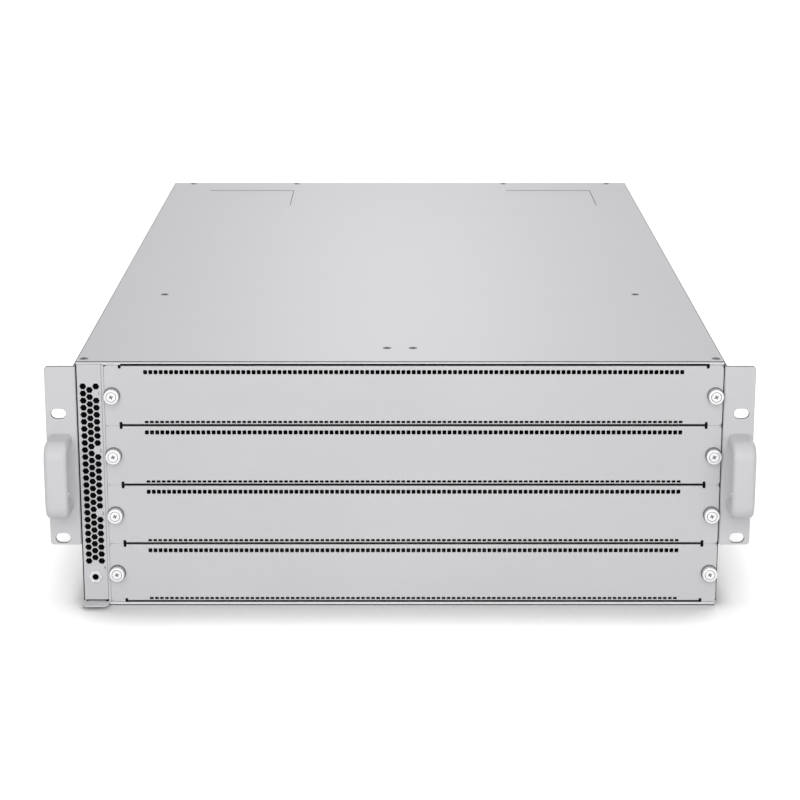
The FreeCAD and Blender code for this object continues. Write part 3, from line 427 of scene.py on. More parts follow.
def on_back(part, x, y, z):
    """Puts a turned part on a face at y, its w axis pointing to the back."""
    return shaped(part, lambda u, v, w: (x + u, y + w, z + v))


def on_side(part, side, x, y, z):
    """Puts a turned part on a face x from the middle, its w axis pointing out to the left (-1) or right (1)."""
    return shaped(part, lambda u, v, w: (side * (x + w), y + u, z + v))


def each(parts, stand, x, y, z):
    """Places several parts, each with its finish, by one of the helpers above."""
    return [(finish, stand(part, x, y, z)) for finish, part in parts]


def piece(name, body, parts, replaces=()):
    """Makes one object of several parts, each with its material, and lets it ride on a body."""
    finishes = []
    points = []
    faces = []
    marks = []
    for finish, (own_points, own_faces) in parts:
        if finish not in finishes:
            finishes.append(finish)
        start = len(points)
        points += [(x * MM, y * MM, z * MM) for x, y, z in own_points]
        faces += [tuple(k + start for k in face) for face in own_faces]
        marks += [finishes.index(finish)] * len(own_faces)
    mesh = bpy.data.meshes.new(name)
    mesh.from_pydata(points, [], faces)
    for finish in finishes:
        mesh.materials.append(finish)
    mesh.polygons.foreach_set("material_index", marks)
    bm = bmesh.new()
    bm.from_mesh(mesh)
    bmesh.ops.recalc_face_normals(bm, faces=bm.faces)
    bm.to_mesh(mesh)
    bm.free()
    mesh.shade_smooth()
    mesh.set_sharp_from_angle(angle=math.radians(SHARP_ANGLE))
    thing = bpy.data.objects.new(name, mesh)
    bpy.context.scene.collection.objects.link(thing)
    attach(thing, body)
    if replaces:
        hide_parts(*replaces)
    return thing


def slot_z(n):
    """The middle of slot n; slot 1 is the top one."""
    return EDGE_STRIP + SLOT_PITCH * (4.5 - n)


def paint(finish, *names):
    """Gives CAD nodes that stay as they are their finish."""
    for name in names:
        materials = frame["nodes"][name].data.materials
        materials.clear()
        materials.append(finish)


# Blank panels: one perforated sheet each, folded back at top and bottom

SHEET = 0.8
BEND = 0.9              # outer radius of the folds
BEND_STEPS = 6
FACE = 20.45            # half the face's height, over the folds
FOLD_IN = 198.5         # half the folds' width
FOLD_DEPTH = 12.5
NOTCH_OUT = 200.5       # where the relief notch beside a fold ends
NOTCH_IN = 18.75        # how far it reaches towards the middle
PANEL_HALF = 210.12
PANEL_RISE = 21.16      # half the height of the ends beside the folds
BEND_START = FACE - BEND
BEND_END = BEND_START + BEND * math.pi / 2
FOLD_OUT = BEND_END + FOLD_DEPTH - BEND
HOLES = 105
HOLE_PITCH = 3.5
HOLE_WIDTH = 2.7
HOLE_ROWS = ((16.3, 3.0, 0.55, 2), (-18.8, 1.9, 0.5, 1))  # middle, height, corner radius and its steps
KNOB_X = 205.1
KNOB_RISE = 0.1


def folded(u, v, w):
    """Takes a point of the flat panel sheet to its place on the folded one."""
    a = abs(v)
    if abs(u) > FOLD_IN + 0.5 or a <= BEND_START:
        return u, w, v
    sign = 1 if v > 0 else -1
    if a < BEND_END:
        t = (a - BEND_START) / BEND
        return u, BEND - (BEND - w) * math.cos(t), sign * (BEND_START + (BEND - w) * math.sin(t))
    return u, BEND + a - BEND_END, sign * (FACE - w)


def panel_sheet():
    """A panel's sheet, cut and perforated flat and then folded."""
    quarter = [
        (PANEL_HALF, PANEL_RISE), (NOTCH_OUT, PANEL_RISE), (NOTCH_OUT, NOTCH_IN), (FOLD_IN, NOTCH_IN),
        (FOLD_IN, FOLD_OUT),
    ]
    upper = quarter + [(-u, v) for u, v in reversed(quarter)]
    outline = upper + [(u, -v) for u, v in reversed(upper)]
    radii = [2.2, 0.4, 0.5, 0.5, 1.0]
    radii = radii + radii[::-1]
    outline = rounded(outline, radii + radii[::-1], 2)
    holes = []
    for k in range(HOLES):
        u = (k - (HOLES - 1) / 2) * HOLE_PITCH
        for middle, height, radius, steps in HOLE_ROWS:
            holes.append(rounded(box_line(u, middle, HOLE_WIDTH, height), radius, steps))
    part = slab(outline, holes, SHEET, 0.1)
    lines = [BEND_START - 0.06] + [BEND_START + BEND * math.pi / 2 * k / BEND_STEPS for k in range(BEND_STEPS + 1)]
    lines.append(BEND_END + 0.06)
    planes = [("v", sign * size) for sign in (1, -1) for size in lines]
    return shaped(cut(part, *planes), folded)


def knob_parts(radius, length):
    """Captive screw: knurled knob with a fine ring groove and a cross recess, and its shank."""
    groove = radius * 0.70
    core = radius * 0.62
    line = [
        (1.5, -15.0), (1.5, -0.6), (radius * 0.8, 0.2), (radius * 0.8, 0.8), (radius * 0.94, 1.0),
        (radius, 1.3), (radius, length - 0.75), (radius * 0.98, length - 0.35), (radius * 0.93, length - 0.06),
        (radius * 0.89, length), (groove + 0.15, length), (groove, length - 0.15), (groove, length - 0.9),
        (0.4, length - 0.95),
    ]
    body = lathe(line, 96, flutes=24, depth=0.24, span=(1.2, length - 0.7))
    edge = groove - 0.02
    # The groove's floor takes the darkened collar colour: painted shade in the recess.
    floor = lathe([(0.2, length - 0.85), (edge, length - 0.85), (edge, length - 0.6), (0.2, length - 0.6)], 40)
    tip = slab(ring(0, 0, core, 40), [cross_line(radius * 0.28, radius * 0.085)], 0.7, 0.14)
    top = shaped(tip, lambda u, v, w: (u, v, length - 0.1 - w))
    return [(KNOB, body), (SHADED_FERRULE, floor), (KNOB, top)]


def cross_line(reach, half):
    """The outline of a cross recess, turned a little."""
    corner = [(reach, -half), (reach, half), (half, half)]
    points = []
    for k in range(4):
        t = math.radians(90 * k + 24)
        for a, b in corner:
            points.append((a * math.cos(t) - b * math.sin(t), a * math.sin(t) + b * math.cos(t)))
    return points


def panels():
    """The four blank panels, each with a near-black sheet of painted shade behind its lower holes, and their
    thumbscrews.
    """
    sheet = panel_sheet()
    collar = lathe([(3.0, 0.0), (5.7, 0.0), (5.7, 0.5), (5.5, 0.85), (4.9, 1.0), (4.3, 0.9), (3.0, 0.9)], 48)
    shade = slab(box_line(PANEL_X, FRONT + 4.4, 371.0, 7.0), (), 0.3, 0.05)
    for n in range(1, 5):
        z = slot_z(n)
        # The sheet behind the lower holes is near-black painted shade.
        parts = [(PANEL, moved(sheet, PANEL_X, FRONT, z)), (SHADE_FILL, to_top(shade, 0, 0, z - 19.3))]
        for side, word in SIDES:
            x = PANEL_X + side * KNOB_X
            # The collar round each knob is darkened: painted shadow.
            parts.append((SHADED_FERRULE, on_front(collar, x, FRONT, z + KNOB_RISE)))
            screw = f"thumbscrew_{n}_{word}"
            knob = each(knob_parts(5.15, 5.5), on_front, x, FRONT - 0.3, z + KNOB_RISE)
            piece(f"{screw}_look", f"panel_{n}_{word}_screw", knob, [screw])
        piece(f"panel_{n}_look", f"panel_{n}", parts, [f"blank_panel_{n}"])


# Left column: honeycomb plate, slot numbers, wrist-strap socket

# The runs of hexagons: column, pitches below the top one, number of cells. The right column leaves room for the
# slot numbers.
HEX_RUNS = [(-1, 0, 26), (0, 0.5, 25), (1, 0, 1), (1, 2, 7), (1, 10, 8), (1, 19, 7)]
HEX_TOP = 157.4
HEX_ACROSS = 4.2
HEX_PITCH_X = 4.4
HEX_PITCH_Z = 5.0
DIGITS_X = -204.6
DIGITS_Z = (152.6, 112.0, 67.0, 27.5)
DIGIT_SIZE = 3.4
NUT_ACROSS = 8.0
NUT_THICK = 2.2


def upright(finish, x, z, width, height, thick, edge, behind):
    """A plain strip round (x, z) that looks to the front, a little behind the front plane."""
    return finish, to_front(slab(box_line(x, z, width, height), (), thick, edge), 0, FRONT + behind)


def column():
    """Honeycomb plate with its folded leaves, the left leaf near-black as painted shade, and near-black painted
    shade in the gaps behind it, beside it and over the label tab.
    """
    cells = []
    for step, first, rows in HEX_RUNS:
        for k in range(rows):
            z = HEX_TOP - HEX_PITCH_Z * (first + k)
            cells.append(ring(VENT_X + HEX_PITCH_X * step, z, HEX_ACROSS / math.sqrt(3), 6))
    outline = rounded(box_line(VENT_X, 88.6, 16.4, 168.8), 0.5, 2)
    plate = slab(outline, cells + [ring(VENT_X, JACK_Z, 3.1, 24)], 1.2, 0.12)
    leaf = slab(box_line(FRONT + 5.6, 90.5, 8.8, 154.0), (), 1.2, 0.1)
    parts = [(BODY, to_front(plate)), (SHADE_FILL, to_side(leaf, -1, 217.9)), (BODY, to_side(leaf, 1, -202.8))]
    # Sheets of near-black painted shade behind the honeycomb, in the slits beside it and over the label tab.
    parts.append(upright(SHADE_FILL, -210.5, 88.3, 13.8, 166.0, 1.5, 0.2, 8.0))
    for x, width in ((-219.6, 0.7), (219.65, 0.62)):
        parts.append(upright(SHADE_FILL, x, 88.0, width, 168.6, 0.9, 0.05, 0.5))
    parts.append(upright(BODY, -201.85, 88.3, 1.6, 168.0, 0.8, 0.1, 0.15))
    parts.append(upright(SHADE_FILL, -209.6, 3.95, 15.6, 1.4, 0.8, 0.1, 1.3))
    for x, width in ((-196.0, 13.0), (214.5, 9.4)):
        parts.append(upright(BODY, x, 172.8, width, 0.8, 0.8, 0.1, 0.15))
    piece("vent_look", "chassis", parts, ["vent_grille"])


def slot_numbers():
    """The digits 1 to 4 beside the honeycomb, as thin shapes."""
    digits = []
    for n, z in enumerate(DIGITS_Z, 1):
        curve = bpy.data.curves.new(f"digit_{n}", "FONT")
        curve.body = str(n)
        curve.size = DIGIT_SIZE * MM
        curve.align_x = "CENTER"
        curve.align_y = "CENTER"
        curve.extrude = 0.02 * MM
        holder = bpy.data.objects.new(f"digit_{n}", curve)
        bpy.context.scene.collection.objects.link(holder)
        bpy.context.view_layer.update()
        glyph = bpy.data.meshes.new_from_object(holder)
        points = [(v.co.x / MM + DIGITS_X, FRONT - 0.02 + v.co.z / MM, v.co.y / MM + z) for v in glyph.vertices]
        digits.append((INK, (points, [tuple(f.vertices) for f in glyph.polygons])))
        bpy.data.objects.remove(holder)
    piece("slot_numbers", "chassis", digits)


def jack():
    """Hexagonal nut and barrel of the wrist-strap socket, with a near-black liner in its bore as painted shade."""
    nut = slab(ring(0, 0, NUT_ACROSS / math.sqrt(3), 6), [ring(0, 0, 3.1, 32)], NUT_THICK, 0.35)
    nut = to_front(nut, VENT_X, FRONT - NUT_THICK, JACK_Z)
    piece("nut_look", "chassis", [(KNOB, nut)], ["esd_nut"])
    barrel = to_front(hollow(2.95, 2.1, 18.4), VENT_X, FRONT - 2.5, JACK_Z)
    liner = to_front(slab(ring(0, 0, 2.12, 32), [ring(0, 0, 2.0, 32)], 16.0, 0.02), VENT_X, FRONT - 2.1, JACK_Z)
    piece("jack_look", "chassis", [(KNOB, barrel), (SHADE_FILL, liner)], ["esd_jack"])


def hollow(radius, bore, length, sides=40):
    """A short tube with a chamfered mouth."""
    line = [
        (bore, length), (bore, 0.5), (bore + 0.35, 0.0), (radius - 0.3, 0.0), (radius, 0.3), (radius, length),
    ]
    points, faces = lathe(line, sides)
    last = (len(line) - 1) * sides
    faces = faces[:-2]
    for k in range(sides):
        m = (k + 1) % sides
        faces.append((last + k, last + m, m, k))
    return points, faces


# Rack ears and bow handles

EAR_SHEET = 2.0
EAR_BEND = 2.0          # outer radius between the ear's face and its leg
EAR_FACE = 21.3
EAR_LEG = 48.0
EAR_Z = 108.0
EAR_HEIGHT = 127.0
RACK_X = 232.55
RACK_Z = (49.4, 81.15, 138.3)
EAR_SCREW_BACK = 26.0   # behind the front plane
EAR_SCREW_Z = (66.0, 108.0, 150.0)
HANDLE_X = 232.0
HANDLE_Z = 96.9
HANDLE_FOOT = 22.95     # from the handle's middle to the middle of a foot
HANDLE_REACH = 30.0


def ears():
    """Both ears, each folded from one sheet, with their handles and screws."""
    run = EAR_BEND * math.pi / 2
    flat = EAR_FACE - EAR_BEND
    leg = EAR_LEG - EAR_BEND
    outline = rounded(box_line((flat - leg - run) / 2, EAR_Z, flat + leg + run, EAR_HEIGHT), 2.4, 5)
    holes = [slotted(RACK_X - HALF - EAR_BEND, z, 10.4, 7.0) for z in RACK_Z]
    holes += [ring(-run - 24.0, z, 2.6, 20) for z in EAR_SCREW_Z]
    lines = [0.06] + [-run * k / 6 for k in range(7)] + [-run - 0.06]
    sheet = cut(slab(outline, holes, EAR_SHEET, 0.2), *[("u", size) for size in lines])
    flat_faces, cut_edges = split(sheet)
    for side, word in SIDES:

        def bent(u, v, w):
            if u >= 0:
                return side * (HALF + EAR_BEND + u), FRONT + w, v
            if u > -run:
                t = -u / EAR_BEND
                out = HALF + EAR_BEND - (EAR_BEND - w) * math.sin(t)
                return side * out, FRONT + EAR_BEND - (EAR_BEND - w) * math.cos(t), v
            return side * (HALF + w), FRONT + EAR_BEND - u - run, v

        # The cut edges take the dark edge colour: painted shade.
        parts = [(EAR, shaped(flat_faces, bent)), (EDGE_SHADE, shaped(cut_edges, bent))]
        piece(f"{word}_ear_look", "chassis", parts, [f"{word}_ear"])
        piece(f"{word}_handle_look", "chassis", [(HANDLE, handle_bar(side))], [f"{word}_handle"])
    heads = []
    for side, word in SIDES:
        for z in EAR_SCREW_Z:
            for finish, part in pan_head():
                heads.append((finish, on_side(part, side, HALF + EAR_SHEET, FRONT + EAR_SCREW_BACK, z)))
    piece("ear_screws_look", "chassis", heads, ["ear_screws"])
    heads = []
    for side, word in SIDES:
        for z in (HANDLE_Z - HANDLE_FOOT, HANDLE_Z + HANDLE_FOOT):
            heads += each(pan_head(), on_back, side * HANDLE_X, FRONT + EAR_SHEET, z)
    piece("handle_screws_look", "chassis", heads, ["handle_screws"])


def pan_head():
    """Low round head with a cross recess, standing on w = 0."""
    radius = 3.2
    height = 1.6
    line = [
        (radius * 0.2, -0.8), (radius * 0.95, 0.0), (radius, height * 0.3), (radius * 0.92, height * 0.62),
        (radius * 0.72, height * 0.84), (radius * 0.6, height * 0.55), (0.3, height * 0.55),
    ]
    top = slab(ring(0, 0, radius * 0.7, 28), [cross_line(radius * 0.45, radius * 0.12)], height * 0.4, 0.1)
    return [(BRIGHT, lathe(line, 28)), (BRIGHT, shaped(top, lambda u, v, w: (u, v, height - w)))]


def bow(section, origin, way, foot, reach, bend, steps, roots=()):
    """Carries a section from one foot of a bow handle round its two corners to the other foot.

    The bow points to the front where way is -1 and to the back where it is 1. foot, reach and bend are measured
    to the section's middle, and roots are further stations close to each foot.
    """
    x, y, z = origin
    stations = []

    def station(out, up, t):
        stations.append(((x, y + way * out, z + up), (1, 0, 0), (0, way * math.sin(t), math.cos(t))))

    for out in (0.0, *roots):
        station(out, foot, 0.0)
    for k in range(steps + 1):
        t = math.pi / 2 * k / steps
        station(reach - bend + bend * math.sin(t), foot - bend + bend * math.cos(t), t)
    for k in range(steps + 1):
        t = math.pi / 2 + math.pi / 2 * k / steps
        station(reach - bend + bend * math.sin(t), bend - foot + bend * math.cos(t), t)
    for out in (*reversed(roots), 0.0):
        station(out, -foot, math.pi)
    return swept(section, stations)


def handle_bar(side):
    """A bow bent from flat oval bar, its feet on the ear."""
    wide = 7.8
    thick = 4.25
    section = rounded([(-wide, -thick), (wide, -thick), (wide, thick), (-wide, thick)], [2.0, 2.0, 3.4, 3.4], 5)
    origin = (side * HANDLE_X, FRONT, HANDLE_Z)
    return bow(section, origin, -1, HANDLE_FOOT, HANDLE_REACH - thick, 7.5, 10, roots=(1.5,))


# Cover, tray and the front strip

COVER_SCREWS = [(215.0, 8.2), (9.0, 38.6), (180.0, 211.0), (201.5, 714.0), (100.75, 714.0)]  # from middle and front
FIELD_X = 142.0
FIELD_Y = 276.0
PANEL_ENDS = 199.6      # from the panels' middle to their notches
NOTCHES = ((3.6, 3.2), (45.1, 5.2), (87.5, 5.2), (129.9, 5.2), (171.6, 3.2))  # middle and height


def cover():
    """Sheet with sunk screws and two label fields, a rim of painted shade along its edge, and a strip of painted
    highlight along its front.
    """
    places = [(side * x, FRONT + t) for x, t in COVER_SCREWS for side in (-1, 1)]
    holes = [ring(x, y, 3.15, 24) for x, y in places]
    fields = [rounded(box_line(side * FIELD_X, FIELD_Y, 81.0, 82.0), 1.0, 3) for side in (-1, 1)]
    inner = rounded(box_line(0, 0, 438.6, 718.6), 1.2, 3)
    skin = slab(inner, holes + fields, 0.3, 0.08)
    sheet = slab(inner, holes, 0.55, 0.05)
    rim = slab(rounded(box_line(0, 0, 439.9, 719.9), 1.4, 3), [inner], 0.95, 0.12)
    base = slab(rounded(box_line(0, 0.8, 440.0, 718.4), 1.5, 3), holes, 0.85, 0.2)
    parts = [
        (COVER, to_top(skin, 0, 0, TOP)),
        (COVER, to_top(sheet, 0, 0, TOP - 0.3)),
        # The rim is dark painted shade; the front strip below is near-white painted highlight.
        (EDGE_SHADE, to_top(rim, 0, 0, TOP - 0.05)),
        (COVER, to_top(base, 0, 0, TOP - 0.95)),
        upright(HIGHLIGHT_STRIP, 0, 173.85, 439.0, 1.15, 1.3, 0.25, 0.0),
    ]
    for side in (-1, 1):
        # Dark lines of painted shade along each label field's back and right walls.
        for x, y, width, depth in ((0.0, 40.4, 80.6, 1.0), (40.0, 0.0, 0.7, 81.6)):
            line = slab(box_line(side * FIELD_X + x, FIELD_Y + y, width, depth), (), 0.22, 0.05)
            parts.append((EDGE_SHADE, to_top(line, 0, 0, TOP - 0.1)))
    piece("cover_look", "chassis", parts, ["top_cover"])
    heads = []
    line = [(1.2, -2.4), (1.4, -1.2), (2.75, -0.25), (2.9, 0.0), (2.7, 0.16), (2.2, 0.3), (1.9, -0.2), (0.3, -0.3)]
    body = lathe(line, 28)
    top = slab(ring(0, 0, 2.15, 28), [cross_line(1.4, 0.36)], 0.5, 0.08)
    for x, y in places:
        heads.append((SCREW, moved(body, x, y, TOP)))
        heads.append((SCREW, to_top(top, x, y, TOP + 0.38)))
    piece("cover_screws_look", "chassis", heads, ["cover_screws"])


def tray():
    """Floor and sides as one folded sheet with rounded bends, a strip of painted highlight on the front lip with a
    line of painted shade under it, and near-black painted shade in the gaps between and beside the panels.
    """
    wall = HALF - CHASSIS_SHEET
    flange = wall - 7.4
    high = TOP - CHASSIS_SHEET
    low = high - CHASSIS_SHEET
    right = [(HALF, 0.0), (HALF, high), (flange, high), (flange, low), (wall, low), (wall, CHASSIS_SHEET)]
    section = right + [(-u, v) for u, v in reversed(right)]
    radii = [2.2, 2.0, 0, 0, 0.3, 0.4]
    section = rounded(section, radii + radii[::-1], 5)
    body = slab(section, (), BACK - FRONT - 1.5, 0.15)
    sill = slab(box_line(PANEL_X, FRONT + 8.0, 398.0, 12.0), (), 0.25, 0.05)
    parts = [
        (BODY, to_front(body, 0, FRONT + 1.5, 0)),
        # Painted highlight on the lip and painted shade at its foot; the sill and the strip over the top panel are
        # near-black painted shade.
        upright(HIGHLIGHT_STRIP, 0, 1.36, 437.0, 1.28, 1.6, 0.3, 0.0),
        upright(EDGE_SHADE, 0, 0.36, 437.0, 0.72, 1.6, 0.05, 0.0),
        (SHADE_FILL, to_top(sill, 0, 0, 2.05)),
        upright(SHADE_FILL, PANEL_X, 172.5, 398.0, 1.6, 1.0, 0.1, 1.4),
    ]
    # Near-black painted shade between the panels and in their notches.
    for n in range(1, 4):
        parts.append(upright(SHADE_FILL, PANEL_X, slot_z(n) - SLOT_PITCH / 2, 396.0, 1.1, 4.0, 0.1, 1.0))
    for z, height in NOTCHES:
        for side in (-1, 1):
            parts.append(upright(SHADE_FILL, PANEL_X + side * PANEL_ENDS, z, 1.8, height, 0.8, 0.1, 1.0))
    piece("tray_look", "chassis", parts, ["chassis_tray"])


# Rear wall and modules

MODULE_WIDTH = 84.0
MODULE_HEIGHT = 40.0
MODULE_LENGTH = 290.0
MODULE_FACE = 1.5
CHAMBER_DEPTH = 26.0    # of the hollow front part behind a module's face
GRILLE_X = 13.0
INLET_X = -23.0
FAN_WIDTH = 128.0
FAN_HEIGHT = 118.0
FAN_SHEET = 1.2
LATCH_RECESS = box_line(35.6, 0.0, 6.4, 14.6)
PORT_X = -29.5
PORT_PITCH = 17.0
PORT_RISE = 7.5


def rear_wall():
    """Back plate with the modules' openings, and the flange under the cover."""
    holes = [rounded(box_line(k * REAR_PITCH, BAY_Z, 84.8, 40.8), 1.0, 3) for k in range(-2, 3)]
    holes += [rounded(box_line(k * FAN_PITCH, FAN_Z, 128.8, 118.8), 1.0, 3) for k in range(-1, 2)]
    wall = slab(box_line(0, 86.6, 436.4, 169.6), holes, CHASSIS_SHEET, 0.15)
    flange = slab(box_line(0, 0, 421.0, 13.0), (), CHASSIS_SHEET, 0.15)
    parts = [(ZINC, to_back(wall)), (ZINC, to_top(flange, 0, BACK - 6.5, TOP - CHASSIS_SHEET))]
    piece("rear_wall_look", "chassis", parts, ["rear_frame"])


def tube_of(width, height, depth, wall):
    """An open box: four walls round a rectangle."""
    outer = rounded(box_line(0, 0, width, height), 1.2, 3)
    inner = rounded(box_line(0, 0, width - 2 * wall, height - 2 * wall), 0.6, 3)
    return slab(outer, [inner], depth, 0.1)


def fan_parts(n):
    """Fan module: slotted plate with a grip, box, shroud, strut and pin, and its wheel and screw."""
    x = (n - 2) * FAN_PITCH
    slots = [slotted(0, 14.5 * k, 102.0, 10.5, 5) for k in range(-3, 4)]
    plate = slab(rounded(box_line(0, 0, 144.4, 127.0), 1.5, 3), slots, 1.5, 0.2)
    box = tube_of(FAN_WIDTH, FAN_HEIGHT, 150.0, FAN_SHEET)
    strut = slab(box_line(0, 0, FAN_WIDTH - 2 * FAN_SHEET, 14.0), (), 3.0, 0.3)
    pin = lathe([(3.0, 0.0), (3.0, 16.0), (2.6, 16.6)], 24)
    lip = slab(rounded(box_line(BACK + 8.0, 0, 15.6, 51.0), [0, 2.5, 2.5, 0], 4), (), 1.2, 0.2)
    shroud = slab(rounded(box_line(0, 0, 125.4, 115.4), 1.0, 2), [ring(0, 0, 56.0, 72)], 3.0, 0.5)
    parts = [
        (ZINC, to_back(plate, x, BACK + 1.5, FAN_Z)),
        (ZINC, to_back(box, x, BACK, FAN_Z)),
        (BLACK, to_back(shroud, x, BACK - 11.0, FAN_Z)),
        (BLACK, to_back(strut, x, BACK - 44.0, FAN_Z)),
        (BRIGHT, on_back(pin, x, BACK - 44.5, FAN_Z)),
        (LATCH, shaped(lip, lambda u, v, w: (x - 72.2 + w, u, FAN_Z + v))),
    ]
    piece(f"fan_{n}_look", f"fan_{n}", parts, [f"fan_{n}_housing"])
    wheel = wheel_parts(hub=20.0, deep=25.0, tip=53.6, blades=7, chord=27.0, thick=2.0, bore=3.2)
    placed = each(wheel, to_back, x, BACK - 15.0, FAN_Z)
    piece(f"fan_{n}_wheel_look", f"fan_{n}_wheel", placed, [f"fan_{n}_rotor"])
    knob = each(knob_parts(3.9, 5.5), on_back, x + 68.0, BACK + 1.8, FAN_Z)
    piece(f"fan_{n}_screw_look", f"fan_{n}_knob", knob, [f"fan_{n}_screw"])


def wheel_parts(hub, deep, tip, blades, chord, thick, bore):
    """Hub with curved, twisted blades; w runs along the axis from the rear face inwards."""
    line = [
        (hub * 0.35, 0.0), (hub * 0.82, 0.0), (hub * 0.96, deep * 0.03), (hub, deep * 0.1), (hub, deep * 0.96),
        (hub * 0.97, deep), (bore, deep), (bore, deep * 0.55), (bore * 0.6, deep * 0.5),
    ]
    cap = lathe([(hub * 0.3, 0.0), (hub * 0.34, 0.15), (hub * 0.34, 0.6)], 32)
    parts = [(BLACK, lathe(line, 56)), (ZINC, moved(cap, 0, 0, -0.1))]
    for k in range(blades):
        parts.append((BLACK, wheel_blade(hub, deep, tip, 2 * math.pi * k / blades, chord, thick)))
    return parts


def wheel_blade(hub, deep, tip, turn, chord, thick):
    """One blade: bowed sections from the hub to the tip, each pitched less than the one before it."""
    radial = 8
    around = 7
    root = hub * 0.93
    points = []
    faces = []
    for i in range(radial + 1):
        s = i / radial
        r = root + (tip - root) * s
        pitch = math.radians(52 - 22 * s)
        lead = 0.34 * s * s + turn
        reach = chord * (0.82 + 0.18 * math.sin(math.pi * min(s * 1.1, 1)))
        for side in (1, -1):
            for j in range(around + 1) if side > 0 else range(around - 1, 0, -1):
                c = j / around
                along = (c - 0.5) * reach
                bowed = 0.10 * reach * math.sin(math.pi * c)
                across = bowed + side * thick / 2 * (0.25 + 0.75 * math.sin(math.pi * c) ** 0.6)
                t = lead + (along * math.cos(pitch) - across * math.sin(pitch)) / r
                axial = along * math.sin(pitch) + across * math.cos(pitch)
                points.append((r * math.cos(t), r * math.sin(t), deep / 2 + axial * 0.86))
    n = 2 * around
    for i in range(radial):
        for k in range(n):
            m = (k + 1) % n
            faces.append((i * n + k, i * n + m, (i + 1) * n + m, (i + 1) * n + k))
    faces.append(tuple(reversed(range(n))))
    faces.append(tuple(range(radial * n, radial * n + n)))
    return points, faces


def module_box(holes, slots, x):
    """Case of a plug-in module: a long box, a hollow front part and a face with openings."""
    outline = rounded(box_line(0, 0, MODULE_WIDTH, MODULE_HEIGHT), 1.0, 3)
    behind = MODULE_FACE + CHAMBER_DEPTH
    rear = slab(outline, (), MODULE_LENGTH - behind, 0.3)
    front = slab(outline, holes, CHAMBER_DEPTH, 0.05)
    face = slab(outline, slots, MODULE_FACE, 0.15)
    return [
        (ZINC, to_back(rear, x, BACK - behind, BAY_Z)),
        (ZINC, to_back(front, x, BACK - MODULE_FACE, BAY_Z)),
        (ZINC, to_back(face, x, BACK, BAY_Z)),
    ]


def bow_parts(x):
    """Strap handle with rounded corners, standing on a module's face."""
    half = 1.25
    section = rounded(box_line(0, 0, 9.0, 2 * half), 0.8, 3)
    return bow(section, (x, BACK, BAY_Z), 1, 17.0 - half, 24.0 - half, 4.0, 6)


def latch_parts(x):
    """Release tab with a rounded, ribbed thumb piece."""
    line = [(38.5, -14.0), (38.5, 8.4), (37.9, 9.0), (36.1, 9.0), (35.6, 8.2), (36.5, 0.0), (36.5, -14.0)]
    leaf = slab(line, (), 14.0, 0.3)
    parts = [(LATCH, shaped(leaf, lambda u, v, w: (x + u, BACK + v, BAY_Z - 7.0 + w)))]
    rib = slab(rounded(box_line(0, 0, 0.7, 11.0), 0.3, 2), (), 0.5, 0.15)
    for k in range(4):
        out = 2.2 + 1.5 * k
        a = x + 36.4 - 0.095 * out - 0.4
        parts.append((LATCH, shaped(rib, lambda u, v, w: (a + w, BACK + out + u, BAY_Z + v))))
    return parts


def supplies():
    """The four power supplies, each with its inlet, fan wheel and latch."""
    chamber = box_line(GRILLE_X, 0, 36.0, 36.0)
    inlet_hole = box_line(INLET_X, 0, 28.2, 20.2)
    slots = [slotted(GRILLE_X, 6.6 * s, 33.0, 4.2, 5) for s in range(-2, 3)]
    pin = lathe([(1.5, 0.0), (1.5, 16.0), (1.2, 16.4)], 20)
    light = lathe([(0.9, -0.4), (1.3, 0.0), (1.2, 0.5), (0.6, 0.8), (0.1, 0.85)], 20)
    for k in range(1, 5):
        x = (k - 3) * REAR_PITCH
        parts = module_box([chamber, inlet_hole, LATCH_RECESS], slots + [inlet_hole, LATCH_RECESS], x)
        parts.append((BRIGHT, bow_parts(x + GRILLE_X)))
        parts.append((BRIGHT, on_back(pin, x + GRILLE_X, BACK - MODULE_FACE - CHAMBER_DEPTH, BAY_Z)))
        parts.append((LENS, on_back(light, x + INLET_X, BACK, BAY_Z + 14.5)))
        piece(f"supply_{k}_look", f"supply_{k}", parts, [f"supply_{k}_case"])
        inlet = inlet_parts(x + INLET_X)
        piece(f"supply_{k}_inlet_look", f"supply_{k}", inlet, [f"supply_{k}_inlet"])
        wheel = wheel_parts(hub=9.0, deep=14.0, tip=16.8, blades=5, chord=10.5, thick=1.0, bore=1.7)
        placed = each(wheel, to_back, x + GRILLE_X, BACK - 4.0, BAY_Z)
        piece(f"supply_{k}_wheel_look", f"supply_{k}_wheel", placed, [f"supply_{k}_rotor"])
        piece(f"supply_{k}_latch_look", f"supply_{k}_catch", latch_parts(x), [f"supply_{k}_latch"])


def inlet_parts(x):
    """Mains inlet: frame round a mouth with two cut corners, its floor and three blades."""
    outline = rounded(box_line(0, 0, 28.0, 20.0), 1.5, 3)
    mouth = [(-12.2, -8.2), (12.2, -8.2), (12.2, 4.0), (8.2, 8.2), (-8.2, 8.2), (-12.2, 4.0)]
    shell = slab(outline, [rounded(mouth, 1.0, 3)], 16.4, 0.3)
    floor = slab(rounded(box_line(0, 0, 27.6, 19.6), 1.2, 3), (), 1.6, 0.2)
    parts = [(BLACK, to_back(shell, x, BACK, BAY_Z)), (BLACK, to_back(floor, x, BACK - 16.4, BAY_Z))]
    for a, b in ((-7.0, -2.0), (0.0, 2.0), (7.0, -2.0)):
        blade = slab(rounded(box_line(a, b, 2.0, 4.0), 0.3, 2), (), 14.4, 0.3)
        parts.append((BRIGHT, to_back(blade, x, BACK - 2.0, BAY_Z)))
    return parts


